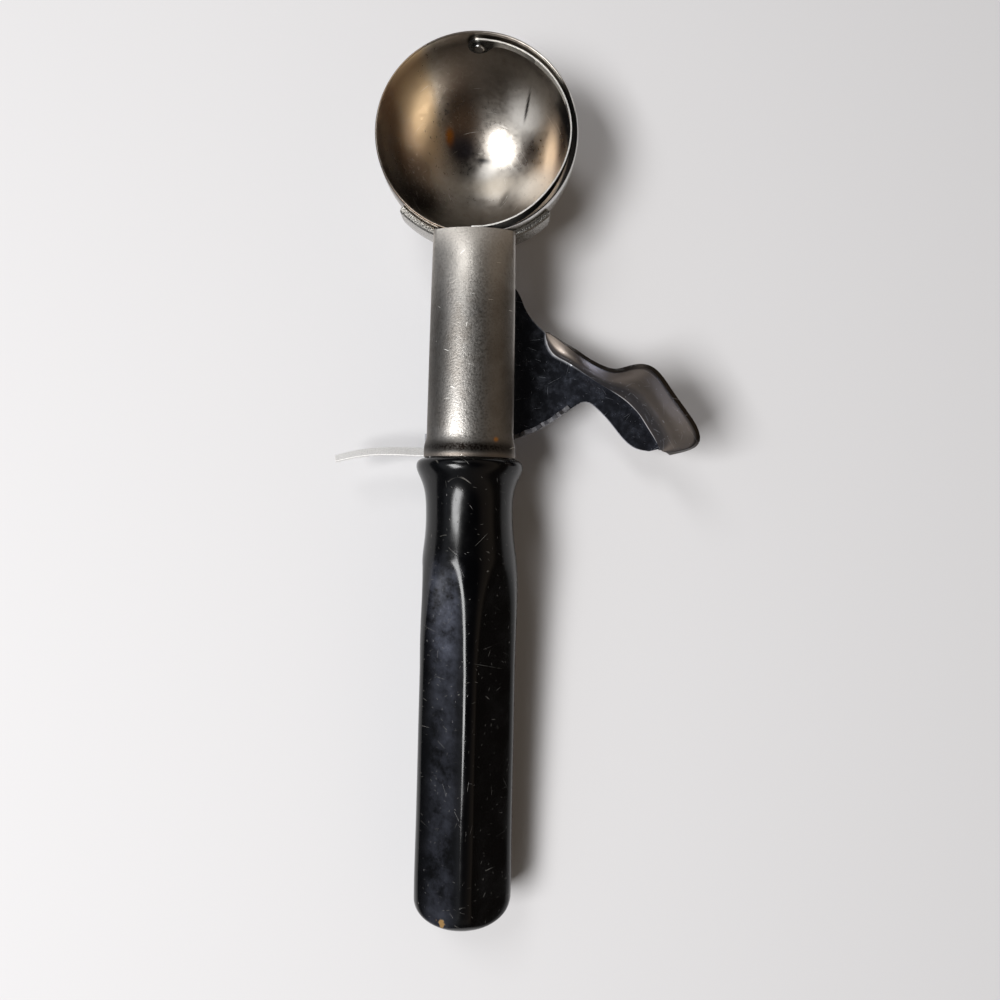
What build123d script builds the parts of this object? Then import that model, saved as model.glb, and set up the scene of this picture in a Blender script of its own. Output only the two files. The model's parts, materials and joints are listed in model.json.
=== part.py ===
from build123d import *

import os
from math import acos, atan2, cos, degrees, hypot, pi, radians, sin, sqrt, tan

# Lever ice cream scoop: a half-round bowl with a scraper blade that a thumb lever sweeps through a
# rack and pinion, on a covered shank with a turned wooden handle.
#
# Millimetres. The pieces are drawn in the tool's own frame: the origin is the centre of the bowl's
# sphere, the scraper shaft lies along Y with the handle towards -Y, the mouth of the bowl faces +Z
# and the thumb lever is on the +X side. At the end every piece goes through one rigid move, "lying",
# which lays the tool on its bowl and the flat of its handle.

# ---- driving sizes ------------------------------------------------------------------------------
running_gap = 0.05          # radial, a turning shaft in its hole
seat_gap = 0.02             # soldered, pressed or riveted faces
free_gap = 0.30             # between pieces that pass each other

# bowl
bowl_radius = 28.5          # outside of the hemisphere
bowl_wall = 0.7
rim_height = 4.5            # straight wall above the sphere's centre
rim_rounding = 0.2

# scraper blade, a band that hugs the inside of the bowl
blade_gap = 0.6             # between the band and the bowl
blade_sheet = 0.5
blade_low_edge = 0.7        # heights of the parked band's edges above the shaft
blade_high_edge = 3.1
blade_eye_radius = 3.2

# scraper shaft and its bearings; a setback is measured from the back of the bowl
shaft_radius = 2.5
spigot_radius = 1.1
spigot_head_radius = 1.6
spigot_head_height = 0.8
tip_shoulder_radius = 2.6
bush_wall = 1.0
front_bush_setback = 6.5
front_bush_length = 9.0
rear_journal_length = 14.0

# yoke, the casting that carries the bowl
saddle_thickness = 2.1
saddle_half_angle = 45.0
saddle_top = 2.5
saddle_shoulder = -2.0      # where the outside starts to taper
saddle_bottom = -6.0
saddle_lower_thickness = 2.4
stem_setback = 23.5
stem_bottom = -4.4
stem_top = -1.2
barrel_wall = 1.0

# lever: pivot, plate, rack
pivot_setback = 15.5
boss_radius = 4.5
boss_bottom = -8.7
plate_top = -9.5
plate_thickness = 1.2
pivot_shoulder_radius = 3.0
pivot_head_radius = 5.0
pivot_head_height = 1.5
pivot_stud_radius = 2.0
pivot_stud_top = -4.0
pivot_washer_thickness = 0.55
lever_bush_wall = 1.2
bush_overhang = 0.1
hub_radius = 9.5

virtual_teeth = 48          # teeth that the rack's circle would hold all the way round
pinion_teeth = 8
rack_outer_radius = 42.5
rack_first_tooth = -1       # tooth numbers from the one under the shaft at rest
rack_last_tooth = 5
pressure_angle = 28.0
lever_travel = 30.5

# meshing of rack and pinion, from the pitch line
pinion_tip_height = 1.22
pinion_root_depth = 1.78
tooth_tip_clearance = 0.4
tooth_backlash = 0.58
rack_tooth_thinning = 0.15  # how much more of the backlash the rack's teeth give

# pinion, along the shaft
pinion_overhang = 1.9       # in front of the rack's middle
pinion_length = 4.5
pinion_hub_radius = 4.75
pinion_hub_length = 4.0
cross_pin_radius = 0.8
thrust_washer_thickness = 0.8
thrust_washer_radius = 4.2
thrust_play = 0.3

# end plate and tang
end_plate_thickness = 1.4
end_plate_margin = 0.4
tang_radius = 4.5
tang_length = 85.0

# shank cover
cover_wall = 0.8
cover_overhang = 1.2        # how far it reaches in over the bowl's rim
cover_bottom = -4.8
cover_half_width = 11.6     # at the front
cover_middle_gain = 0.25    # each gain is added to the half-width before it
cover_back_gain = 0.35
cover_rear_gain = 0.7
cover_shoulder = 5.2        # height of the side walls
cover_front_arch = 1.1
cover_headroom = 0.4        # over the pinion
cover_rear_lift = 0.7
cover_rear_lip = 0.1        # beyond the end plate
cover_shoulder_radius = 2.0
cover_rise = 18.0           # length over which the front climbs to the full crown
cover_flare = 5.0           # length of the flared rear edge
cover_rivet_radius = 1.2
cover_rivet_depth = 4.0
cover_rivet_height = -2.8
cover_rivet_setback = 8.5
cover_rivet_spacing = 12.0

# return spring, wound round the pivot boss
spring_wire_radius = 0.45
spring_play = 0.35
spring_turns = 3
spring_pitch = 1.0
spring_leg = 6.0
spring_hook = 2.4

# rack tail, a ribbon that stands out on the side away from the thumb; its stations and those of its
# ear, foot and rivets are measured from the outside of the rack, towards the pivot
tail_sheet = 0.55
tail_width = 4.0
tail_lean = 45.0
tail_middle = -7.55
tail_route = ((-8.5, -2.4), (-14.0, -2.65), (-27.1, -2.7), (-40.2, -5.2))
tail_ear_left = -14.0
tail_ear_right = -7.2
tail_ear_front = 3.0
tail_ear_back = -3.8
tail_foot_front = 0.4
tail_foot_back = -2.7
tail_rivet_radius = 0.7
tail_rivet_head_radius = 1.2
tail_rivet_head_height = 0.6
tail_rivet_station = -0.5
tail_rivet_half_spacing = 1.6

# thumb pad: the plate's outer side is turned up along the crease, and ends in the crest; x and y
# are measured from the pivot, heights from the shaft
plate_upper_edge = ((21.6, -8.6), (18.1, -5.7), (15.0, -1.3), (12.6, 3.6), (6.0, 7.4))
plate_lower_edge = ((31.8, -29.3), (34.6, -28.9), (41.1, -34.5), (45.2, -39.4), (52.6, -43.2))
crease = (
    (21.6, -8.6),
    (21.6, -11.0),
    (23.8, -14.6),
    (31.4, -19.0),
    (39.5, -24.1),
    (46.0, -28.6),
    (50.6, -33.2),
    (56.4, -42.4),
)
crest = (
    (22.2, -8.6, -8.8),
    (27.7, -12.5, -6.5),
    (33.9, -17.7, -2.5),
    (40.8, -21.7, 3.5),
    (47.3, -20.9, 8.2),
    (53.2, -26.2, 10.0),
    (59.4, -34.5, 10.5),
    (63.0, -40.4, 9.6),
    (62.2, -43.4, 6.6),
)

# handle; its stations are measured from its front face, and those of its butt from its end
handle_length = 129.0
handle_gap = 0.3
bead_front_radius = 13.6
bead_radius = 15.15
bead_station = -2.1
bead_back_radius = 14.0
bead_back_station = -5.7
neck_radius = 12.4
neck_station = -15.0
shoulder_radius = 13.3
shoulder_station = -27.5
swell_radius = 13.95
swell_station = -34.5
butt_radius = 14.0
butt_station = 8.0
dome_radius = 13.9
dome_length = 5.4
butt_flat_radius = 8.3
facet_start_apothem = 14.0  # at the neck, where the facets miss the round
facet_full_apothem = 12.05
facet_full_station = -58.5
facet_end_apothem = 12.4
facet_rounding = 3.5
rest_flat_station = 8.5     # where the flat of the handle is this far below the axis
rest_flat_drop = 11.9

# ---- worked out ---------------------------------------------------------------------------------
bowl_inside = bowl_radius - bowl_wall
blade_outer_radius = bowl_inside - blade_gap
blade_inner_radius = blade_outer_radius - blade_sheet
spigot_seat = sqrt(blade_inner_radius**2 - spigot_head_radius**2)
shaft_hole_radius = shaft_radius + running_gap
bush_outer_radius = shaft_hole_radius + bush_wall
barrel_radius = bush_outer_radius + seat_gap + barrel_wall
saddle_outer_radius = bowl_radius + saddle_thickness
front_bush_start = -bowl_radius - front_bush_setback
stem_end = -bowl_radius - stem_setback

pivot_station = -bowl_radius - pivot_setback
pivot = (0, pivot_station)
plate_bottom = plate_top - plate_thickness
tooth_angle = 360 / virtual_teeth
rack_inner_radius = rack_outer_radius - plate_thickness
rack_mean_radius = (rack_outer_radius + rack_inner_radius) / 2
rack_station = pivot_station - rack_outer_radius
pitch_radius = rack_mean_radius * pinion_teeth / virtual_teeth
scraper_ratio = virtual_teeth / pinion_teeth
tooth_pitch = 2 * pi * rack_mean_radius / virtual_teeth
pinion_tooth_thickness = (tooth_pitch - tooth_backlash) / 2 + rack_tooth_thinning
rack_tooth_thickness = (tooth_pitch - tooth_backlash) / 2 - rack_tooth_thinning
pinion_outer_radius = pitch_radius + pinion_tip_height
pinion_root_radius = pitch_radius - pinion_root_depth
rack_tip = -pinion_root_radius - tooth_tip_clearance
rack_root = -pinion_outer_radius - tooth_tip_clearance

pinion_front = pivot_station - rack_mean_radius + pinion_overhang
pinion_back = pinion_front - pinion_length
end_plate_front = pinion_back - running_gap - thrust_washer_thickness - thrust_play
end_plate_back = end_plate_front - end_plate_thickness
tang_end = end_plate_front - tang_length
cover_front = -bowl_radius + cover_overhang
cover_rear = end_plate_back - cover_rear_lip
cover_middle_half_width = cover_half_width + cover_middle_gain
cover_back_half_width = cover_middle_half_width + cover_back_gain
cover_rear_half_width = cover_back_half_width + cover_rear_gain
cover_crown = pinion_outer_radius + cover_headroom + cover_wall

handle_front = cover_rear - handle_gap
handle_end = handle_front - handle_length
rest_flat = handle_end + rest_flat_station
reach_to_flat = hypot(rest_flat, rest_flat_drop)
lean = degrees(atan2(-rest_flat, rest_flat_drop) - acos(bowl_radius / reach_to_flat))
table_plane = Plane(
    origin=(0, 0, -bowl_radius / cos(radians(lean))),
    x_dir=(1, 0, 0),
    z_dir=(0, sin(radians(lean)), cos(radians(lean))),
)

pieces = {}


def station(y):
    """The cross-section plane of the tool at y; extrusions from it run towards the handle."""
    return Plane.XZ.offset(-y)


def bar(radius, y, length, mode=Mode.ADD):
    """A round bar along the shaft's axis from y towards the handle, in the open part."""
    with BuildSketch(station(y)) as section:
        Circle(radius)
    extrude(section.sketch, amount=length, mode=mode)


def post(radius, centre, top, height, mode=Mode.ADD):
    """An upright round bar whose top is at the given height, in the open part."""
    with BuildSketch(Plane.XY.offset(top)) as section:
        with Locations(centre):
            Circle(radius)
    extrude(section.sketch, amount=-height, mode=mode)


def block(x_span, y_span, z_span, mode=Mode.ADD):
    """A square-edged block between the given limits, in the open part."""
    centre = [sum(span) / 2 for span in (x_span, y_span, z_span)]
    size = [abs(span[1] - span[0]) for span in (x_span, y_span, z_span)]
    with Locations(tuple(centre)):
        Box(*size, mode=mode)


# ---- bowl ---------------------------------------------------------------------------------------
with BuildPart() as bowl:
    with BuildSketch(Plane.XZ):
        with BuildLine():
            outside = CenterArc((0, 0), bowl_radius, -90, 90)
            Polyline(
                outside @ 1,
                (bowl_radius, rim_height),
                (bowl_inside, rim_height),
                (bowl_inside, 0),
            )
            inside = CenterArc((0, 0), bowl_inside, -90, 90)
            Line(outside @ 0, inside @ 0)
        make_face()
    revolve(axis=Axis.Z)
    fillet(bowl.edges().group_by(Axis.Z)[-1], rim_rounding)
    bar(shaft_hole_radius, -bowl_inside + bowl_wall, 3 * bowl_wall, Mode.SUBTRACT)
    bar(spigot_radius + seat_gap, bowl_radius + bowl_wall, 3 * bowl_wall, Mode.SUBTRACT)
pieces["bowl"] = bowl


# ---- yoke ---------------------------------------------------------------------------------------
saddle_start = radians(-90 - saddle_half_angle)
saddle_plane = Plane(
    origin=(0, 0, 0),
    x_dir=(cos(saddle_start), sin(saddle_start), 0),
    z_dir=(sin(saddle_start), -cos(saddle_start), 0),
)
saddle_inside = bowl_radius + seat_gap
saddle_inside_low = sqrt(saddle_inside**2 - saddle_bottom**2)
stem_half_width = cover_half_width - cover_wall - seat_gap
coil_radius = boss_radius + spring_play + spring_wire_radius
cover_rivet_stations = [
    -bowl_radius - cover_rivet_setback - step * cover_rivet_spacing for step in range(2)
]

with BuildPart() as bowl_yoke:
    with BuildSketch(saddle_plane):
        with BuildLine():
            Polyline(
                (saddle_inside, 0),
                (saddle_inside, saddle_top),
                (saddle_outer_radius, saddle_top),
                (saddle_outer_radius, saddle_shoulder),
                (saddle_inside_low + saddle_lower_thickness, saddle_bottom),
                (saddle_inside_low, saddle_bottom),
            )
            RadiusArc((saddle_inside_low, saddle_bottom), (saddle_inside, 0), -saddle_inside)
        make_face()
    revolve(axis=Axis.Z, revolution_arc=2 * saddle_half_angle)
    block(
        (-stem_half_width, stem_half_width),
        (-saddle_inside, stem_end),
        (stem_bottom, stem_top),
    )
    bar(barrel_radius, front_bush_start, front_bush_start - stem_end)
    post(boss_radius, pivot, stem_bottom, stem_bottom - boss_bottom)
    bar(shaft_radius + free_gap, 0, -stem_end, Mode.SUBTRACT)
    bar(bush_outer_radius + seat_gap, front_bush_start, front_bush_length, Mode.SUBTRACT)
    stud_bore = pivot_stud_top - boss_bottom + running_gap
    post(pivot_stud_radius + seat_gap, pivot, pivot_stud_top, stud_bore, Mode.SUBTRACT)
    hook_socket = (coil_radius, pivot_station + spring_leg)
    hook_socket_radius = spring_wire_radius + free_gap
    post(hook_socket_radius, hook_socket, stem_top + 1, 2 * stem_half_width, Mode.SUBTRACT)
    for side in (-1, 1):
        rivet_floor = side * (cover_half_width - cover_wall - cover_rivet_depth)
        with BuildSketch(Plane.YZ.offset(rivet_floor)) as rivet_holes:
            with Locations(*[(y, cover_rivet_height) for y in cover_rivet_stations]):
                Circle(cover_rivet_radius + seat_gap)
        extrude(rivet_holes.sketch, amount=side * 2 * cover_rivet_depth, mode=Mode.SUBTRACT)
pieces["bowl_yoke"] = bowl_yoke


# ---- shank cover --------------------------------------------------------------------------------
def cover_outline(half_width, crown, inset):
    """Arched outline of the cover at one station; inset moves it in and its open side down."""
    half = half_width - inset
    shoulder = cover_shoulder - inset
    with BuildLine() as outline:
        Line((-half, cover_bottom - inset), (-half, shoulder))
        ThreePointArc((-half, shoulder), (0, crown - inset), (half, shoulder))
        Line((half, shoulder), (half, cover_bottom - inset))
        Line((half, cover_bottom - inset), (-half, cover_bottom - inset))
    return outline.line.edges()


def cover_stations():
    """Station, half-width and crown of each cross-section, front to rear."""
    rows = []
    front_crown = cover_shoulder + cover_front_arch
    for step in range(4):
        climb = sin(radians(90 * step / 3))
        y = cover_front - cover_rise * step / 3
        crown = front_crown + (cover_crown - front_crown) * climb
        rows.append((y, cover_half_width + cover_middle_gain * step / 3, crown))
    flare_start = cover_rear + cover_flare
    middle = (cover_front - cover_rise + flare_start) / 2
    rows.append((middle, cover_middle_half_width + cover_back_gain / 2, cover_crown))
    rows.append((flare_start, cover_back_half_width, cover_crown))
    half_flare = cover_back_half_width + cover_rear_gain / 2
    rows.append((cover_rear + cover_flare / 2, half_flare, cover_crown + cover_rear_lift / 2))
    rows.append((cover_rear, cover_rear_half_width, cover_crown + cover_rear_lift))
    return rows


with BuildPart() as shank_cover:
    sections = cover_stations()
    for y, half_width, crown in sections:
        with BuildSketch(station(y)):
            make_face(cover_outline(half_width, crown, 0))
            fillet(vertices().group_by(Axis.Y)[-1], cover_shoulder_radius)
    loft()
    for y, half_width, crown in sections:
        overrun = cover_wall * ((y == sections[0][0]) - (y == sections[-1][0]))
        with BuildSketch(station(y + overrun)):
            make_face(cover_outline(half_width, crown, cover_wall))
            fillet(vertices().group_by(Axis.Y)[-1], cover_shoulder_radius - cover_wall)
    loft(mode=Mode.SUBTRACT)
    rim_clear = rim_height + free_gap
    post(bowl_radius + free_gap, (0, 0), rim_clear, 4 * rim_height, Mode.SUBTRACT)
    saddle_notch_top = saddle_top + free_gap
    post(saddle_outer_radius + free_gap, (0, 0), saddle_notch_top, 4 * rim_height, Mode.SUBTRACT)
    with BuildSketch(Plane.YZ.offset(-2 * cover_middle_half_width)) as rivet_holes:
        with Locations(*[(y, cover_rivet_height) for y in cover_rivet_stations]):
            Circle(cover_rivet_radius + seat_gap)
    extrude(rivet_holes.sketch, amount=4 * cover_middle_half_width, mode=Mode.SUBTRACT)
pieces["shank_cover"] = shank_cover

with BuildPart() as cover_rivets:
    for side in (-1, 1):
        inner_end = cover_half_width - cover_wall - cover_rivet_depth + seat_gap
        with BuildSketch(Plane.YZ.offset(side * inner_end)) as rivets:
            with Locations(*[(y, cover_rivet_height) for y in cover_rivet_stations]):
                Circle(cover_rivet_radius)
        extrude(rivets.sketch, amount=side * (cover_wall + cover_rivet_depth))
pieces["cover_rivets"] = cover_rivets

# ---- end plate and tang -------------------------------------------------------------------------
with BuildPart() as end_plate:
    with BuildSketch(station(end_plate_front)):
        inset = cover_wall + end_plate_margin
        make_face(cover_outline(cover_back_half_width, cover_crown, inset))
        with Locations((0, cover_bottom - inset)):
            Rectangle(2 * cover_rear_half_width, 2 * inset, mode=Mode.SUBTRACT)
    extrude(amount=end_plate_thickness)
    bar(tang_radius + seat_gap, end_plate_front + 1, 2 + end_plate_thickness, Mode.SUBTRACT)
pieces["end_plate"] = end_plate

with BuildPart() as tang:
    bar(tang_radius, end_plate_front, end_plate_front - tang_end)
    chamfer(tang.edges().group_by(Axis.Y)[0], 1.0)
    bar(
        bush_outer_radius + seat_gap,
        end_plate_front + 1,
        1 + rear_journal_length + free_gap,
        Mode.SUBTRACT,
    )
pieces["tang"] = tang


# ---- bearings -----------------------------------------------------------------------------------
with BuildPart() as front_bush:
    bar(bush_outer_radius, front_bush_start, front_bush_length)
    bar(shaft_hole_radius, 0, -stem_end, Mode.SUBTRACT)
pieces["front_bush"] = front_bush

with BuildPart() as rear_bush:
    bar(bush_outer_radius, end_plate_front, rear_journal_length)
    bar(shaft_hole_radius, 0, -tang_end, Mode.SUBTRACT)
pieces["rear_bush"] = rear_bush


# ---- handle -------------------------------------------------------------------------------------
neck = handle_front + neck_station
with BuildPart() as facet_stock:
    bar(1.2 * bead_radius, handle_front + 1, 1 - neck_station)
    facet_rows = (
        (neck, facet_start_apothem),
        (handle_front + facet_full_station, facet_full_apothem),
        (handle_end - 1, facet_end_apothem),
    )
    for y, apothem in facet_rows:
        with BuildSketch(station(y)):
            RegularPolygon(apothem, 5, major_radius=False, rotation=90)
            fillet(vertices(), facet_rounding)
    loft(ruled=True)

with BuildPart() as handle_grip:
    with BuildSketch(Plane.YZ):
        bead_front = (handle_front, bead_front_radius)
        bead_middle = (handle_front + bead_station, bead_radius)
        bead_back = (handle_front + bead_back_station, bead_back_radius)
        shoulder = (handle_front + shoulder_station, shoulder_radius)
        swell = (handle_front + swell_station, swell_radius)
        butt = (handle_end + butt_station, butt_radius)
        dome_start = (handle_end + dome_length, dome_radius)
        with BuildLine():
            Line((handle_front, 0), bead_front)
            ThreePointArc(bead_front, bead_middle, bead_back)
            Spline(bead_back, (neck, neck_radius), shoulder, swell)
            Line(swell, butt)
            Line(butt, dome_start)
            Spline(dome_start, (handle_end, butt_flat_radius), tangents=((-1, 0), (0, -1)))
            Line((handle_end, butt_flat_radius), (handle_end, 0))
            Line((handle_end, 0), (handle_front, 0))
        make_face()
    revolve(axis=Axis.Y)
    add(facet_stock.part, mode=Mode.INTERSECT)
    bar(tang_radius + seat_gap, handle_front + 1, handle_front + 1 - tang_end + 1, Mode.SUBTRACT)
    split(bisect_by=table_plane, keep=Keep.TOP)
pieces["handle_grip"] = handle_grip

# ---- far pivot of the scraper -------------------------------------------------------------------
tip_journal_radius = spigot_radius - running_gap
tip_shoulder_front = sqrt(bowl_inside**2 - tip_shoulder_radius**2) - running_gap
with BuildPart() as tip_pin:
    bar(spigot_radius, bowl_radius, bowl_radius - tip_shoulder_front)
    tip_shoulder_back = blade_outer_radius + running_gap
    bar(tip_shoulder_radius, tip_shoulder_front, tip_shoulder_front - tip_shoulder_back)
    tip_head_front = spigot_seat - 2 * running_gap
    bar(tip_journal_radius, tip_shoulder_back, tip_shoulder_back - tip_head_front)
    bar(spigot_head_radius, tip_head_front, spigot_head_height)
    fillet(tip_pin.edges().group_by(Axis.Y)[0], spigot_head_height / 2)
pieces["tip_pin"] = tip_pin

# ---- scraper ------------------------------------------------------------------------------------
with BuildPart() as scraper_blade:
    with BuildSketch(Plane.YZ):
        with Locations((0, (blade_low_edge + blade_high_edge) / 2)):
            Rectangle(2 * bowl_radius, blade_high_edge - blade_low_edge)
    extrude(amount=bowl_radius)
    bar(blade_eye_radius, bowl_radius, 2 * bowl_radius)
    Sphere(blade_outer_radius, mode=Mode.INTERSECT)
    Sphere(blade_inner_radius, mode=Mode.SUBTRACT)
    bar(spigot_radius, bowl_radius, bowl_radius, Mode.SUBTRACT)
    bar(spigot_radius + seat_gap, 0, bowl_radius, Mode.SUBTRACT)
pieces["scraper_blade"] = scraper_blade

shaft_front = -blade_outer_radius - seat_gap
shaft_rear = end_plate_front - rear_journal_length
pinion_hub_front = pinion_front + pinion_hub_length
cross_pin_station = pinion_front + pinion_hub_length / 2


def cross_pin_bar(radius, half_length, mode=Mode.ADD):
    """The bar of the cross pin, along X through the pinion's hub, in the open part."""
    with BuildSketch(Plane.YZ.offset(-half_length)) as section:
        with Locations((cross_pin_station, 0)):
            Circle(radius)
    extrude(section.sketch, amount=2 * half_length, mode=mode)


with BuildPart() as scraper_shaft:
    bar(shaft_radius, shaft_front, shaft_front - shaft_rear)
    spigot_head_back = -spigot_seat + seat_gap
    bar(spigot_radius, spigot_head_back, spigot_head_back - shaft_front)
    bar(spigot_head_radius, spigot_head_back + spigot_head_height, spigot_head_height)
    fillet(scraper_shaft.edges().group_by(Axis.Y)[-1], spigot_head_height / 2)
    chamfer(scraper_shaft.edges().group_by(Axis.Y)[0], shaft_radius / 5)
    cross_pin_bar(cross_pin_radius + seat_gap, bowl_radius, Mode.SUBTRACT)
pieces["scraper_shaft"] = scraper_shaft


def involute(angle):
    """Involute function of a pressure angle in radians."""
    return tan(angle) - angle


base_radius = pitch_radius * cos(radians(pressure_angle))
pitch_half_angle = pinion_tooth_thickness / 2 / pitch_radius
base_half_angle = pitch_half_angle + involute(radians(pressure_angle))


def flank(radius, side):
    """Point of a pinion tooth's flank at a radius, for a tooth centred on the local X axis."""
    half_angle = side * (base_half_angle - involute(acos(base_radius / radius)))
    return (radius * cos(half_angle), radius * sin(half_angle))


with BuildSketch(Plane.XY) as pinion_tooth:
    with BuildLine():
        low = flank(base_radius, -1)
        high = flank(base_radius, 1)
        Line((pinion_root_radius / 2, low[1]), low)
        Spline(low, flank(pitch_radius, -1), flank(pinion_outer_radius, -1))
        Line(flank(pinion_outer_radius, -1), flank(pinion_outer_radius, 1))
        Spline(flank(pinion_outer_radius, 1), flank(pitch_radius, 1), high)
        Line(high, (pinion_root_radius / 2, high[1]))
        Line((pinion_root_radius / 2, high[1]), (pinion_root_radius / 2, low[1]))
    make_face()

with BuildPart() as pinion:
    with BuildSketch(station(pinion_front)):
        Circle(pinion_root_radius)
        with PolarLocations(0, pinion_teeth, start_angle=180 / pinion_teeth - 90):
            add(pinion_tooth.sketch)
    extrude(amount=pinion_front - pinion_back)
    bar(pinion_hub_radius, pinion_hub_front, pinion_hub_length)
    bar(shaft_radius + seat_gap, 0, -tang_end, Mode.SUBTRACT)
    cross_pin_bar(cross_pin_radius + seat_gap, bowl_radius, Mode.SUBTRACT)
pieces["pinion"] = pinion

with BuildPart() as pinion_cross_pin:
    cross_pin_bar(cross_pin_radius, pinion_hub_radius - seat_gap)
pieces["pinion_cross_pin"] = pinion_cross_pin

with BuildPart() as thrust_washer:
    bar(thrust_washer_radius, pinion_back - running_gap, thrust_washer_thickness)
    bar(shaft_hole_radius, 0, -tang_end, Mode.SUBTRACT)
pieces["thrust_washer"] = thrust_washer

# ---- lever --------------------------------------------------------------------------------------
flank_slope = tan(radians(pressure_angle))
bush_hole_radius = pivot_shoulder_radius + running_gap + lever_bush_wall + seat_gap
rack_start_angle = (rack_first_tooth - 0.75) * tooth_angle
rack_end_angle = (rack_last_tooth + 0.75) * tooth_angle


def rack_point(radius, angle):
    """Plan position at a radius from the pivot; the angle is from the handle towards +X."""
    swing = radians(angle)
    return (radius * sin(swing), pivot_station - radius * cos(swing))


def half_gap(z):
    """Half-width of the gap between two rack teeth at height z."""
    return tooth_pitch / 2 - rack_tooth_thickness / 2 + (z + pitch_radius) * flank_slope


def from_pivot(points):
    """Points measured from the pivot, in the tool's frame."""
    return [(x, pivot_station + y, *height) for x, y, *height in points]


tail_rivet_middle = (tail_ear_left + tail_ear_right) / 2
tail_rivet_centres = [
    (tail_rivet_middle + side * tail_rivet_half_spacing, rack_station + tail_rivet_station)
    for side in (-1, 1)
]
upper_edge, lower_edge, crease_line, crest_line = [
    from_pivot(points) for points in (plate_upper_edge, plate_lower_edge, crease, crest)
]

with BuildPart() as thumb_lever:
    with BuildSketch(Plane.XY.offset(plate_bottom)):
        with Locations(pivot):
            Circle(hub_radius)
        with BuildLine():
            rack_left = rack_point(rack_outer_radius, rack_start_angle)
            rack_right = rack_point(rack_outer_radius, rack_end_angle)
            ThreePointArc(rack_left, rack_point(rack_outer_radius, 0), rack_right)
            Line(rack_right, lower_edge[0])
            Spline(*lower_edge)
            Line(lower_edge[-1], crease_line[-1])
            Spline(*crease_line)
            Spline(*upper_edge)
            Line(upper_edge[-1], pivot)
            Line(pivot, (-hub_radius + 1, pivot_station))
            Line((-hub_radius + 1, pivot_station), rack_left)
        make_face()
    extrude(amount=plate_thickness)
    block(
        (tail_ear_left, tail_ear_right),
        (rack_station + tail_ear_front, rack_station + tail_ear_back),
        (plate_bottom, plate_top),
    )
    with BuildSketch(Plane.XY.offset(plate_bottom)):
        with BuildLine():
            outer = (rack_left, rack_point(rack_outer_radius, 0), rack_right)
            inner_left = rack_point(rack_inner_radius, rack_start_angle)
            inner_right = rack_point(rack_inner_radius, rack_end_angle)
            ThreePointArc(*outer)
            Line(rack_right, inner_right)
            ThreePointArc(inner_right, rack_point(rack_inner_radius, 0), inner_left)
            Line(inner_left, rack_left)
        make_face()
    extrude(amount=rack_tip - plate_bottom)
    for gap in range(rack_first_tooth - 1, rack_last_tooth + 1):
        swing = radians((gap + 0.5) * tooth_angle)
        outward = (sin(swing), -cos(swing), 0)
        start = rack_point(rack_inner_radius - plate_thickness, degrees(swing))
        gap_plane = Plane(origin=(*start, 0), x_dir=(cos(swing), sin(swing), 0), z_dir=outward)
        with BuildSketch(gap_plane):
            above_tip = rack_tip + plate_thickness
            Polygon(
                (-half_gap(rack_root), rack_root),
                (half_gap(rack_root), rack_root),
                (half_gap(above_tip), above_tip),
                (-half_gap(above_tip), above_tip),
                align=None,
            )
        extrude(amount=3 * plate_thickness, mode=Mode.SUBTRACT)
    plate_middle = (plate_top + plate_bottom) / 2
    crease_edge = Edge.make_spline([Vector(x, y, plate_middle) for x, y in crease_line])
    crest_edge = Edge.make_spline([Vector(*point) for point in crest_line])
    pad_face = Face.make_surface_from_curves(crease_edge, crest_edge)
    thicken(pad_face, amount=plate_thickness / 2, both=True)
    post(bush_hole_radius, pivot, plate_top + 1, 2 + plate_thickness, Mode.SUBTRACT)
    for centre in tail_rivet_centres:
        post(tail_rivet_radius + seat_gap, centre, plate_top, plate_thickness, Mode.SUBTRACT)
    hook_hole = (coil_radius, pivot_station - spring_leg)
    hook_hole_radius = spring_wire_radius + free_gap
    post(hook_hole_radius, hook_hole, plate_top, plate_thickness, Mode.SUBTRACT)
pieces["thumb_lever"] = thumb_lever

bush_top = plate_top + bush_overhang
bush_bottom = plate_bottom - bush_overhang
with BuildPart() as lever_bush:
    post(bush_hole_radius - seat_gap, pivot, bush_top, bush_top - bush_bottom)
    pivot_bore = pivot_shoulder_radius + running_gap
    post(pivot_bore, pivot, bush_top + 1, 4 * plate_thickness, Mode.SUBTRACT)
pieces["lever_bush"] = lever_bush

shoulder_top = boss_bottom - seat_gap
pivot_head_top = bush_bottom - bush_overhang
with BuildPart() as lever_pivot_pin:
    post(pivot_stud_radius, pivot, pivot_stud_top - seat_gap, pivot_stud_top - boss_bottom)
    post(pivot_shoulder_radius, pivot, shoulder_top, shoulder_top - pivot_head_top)
    post(pivot_head_radius, pivot, pivot_head_top, pivot_head_height)
    fillet(lever_pivot_pin.edges().group_by(Axis.Z)[0], pivot_head_height / 2)
pieces["lever_pivot_pin"] = lever_pivot_pin

washer_top = boss_bottom - running_gap
with BuildPart() as pivot_washer:
    post(boss_radius, pivot, washer_top, pivot_washer_thickness)
    post(pivot_bore, pivot, washer_top + 1, 2 + pivot_washer_thickness, Mode.SUBTRACT)
pieces["pivot_washer"] = pivot_washer

# ---- return spring ------------------------------------------------------------------------------
coil_height = spring_turns * spring_pitch
coil_bottom = (stem_bottom + boss_bottom - coil_height) / 2
coil_start = (coil_radius, pivot_station, coil_bottom)
coil_end = (coil_radius, pivot_station, coil_bottom + coil_height)


def wire(start, direction, length):
    """A straight run of the spring's wire, in the open part."""
    with BuildSketch(Plane(origin=start, z_dir=direction)) as section:
        Circle(spring_wire_radius)
    extrude(section.sketch, amount=length)


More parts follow.
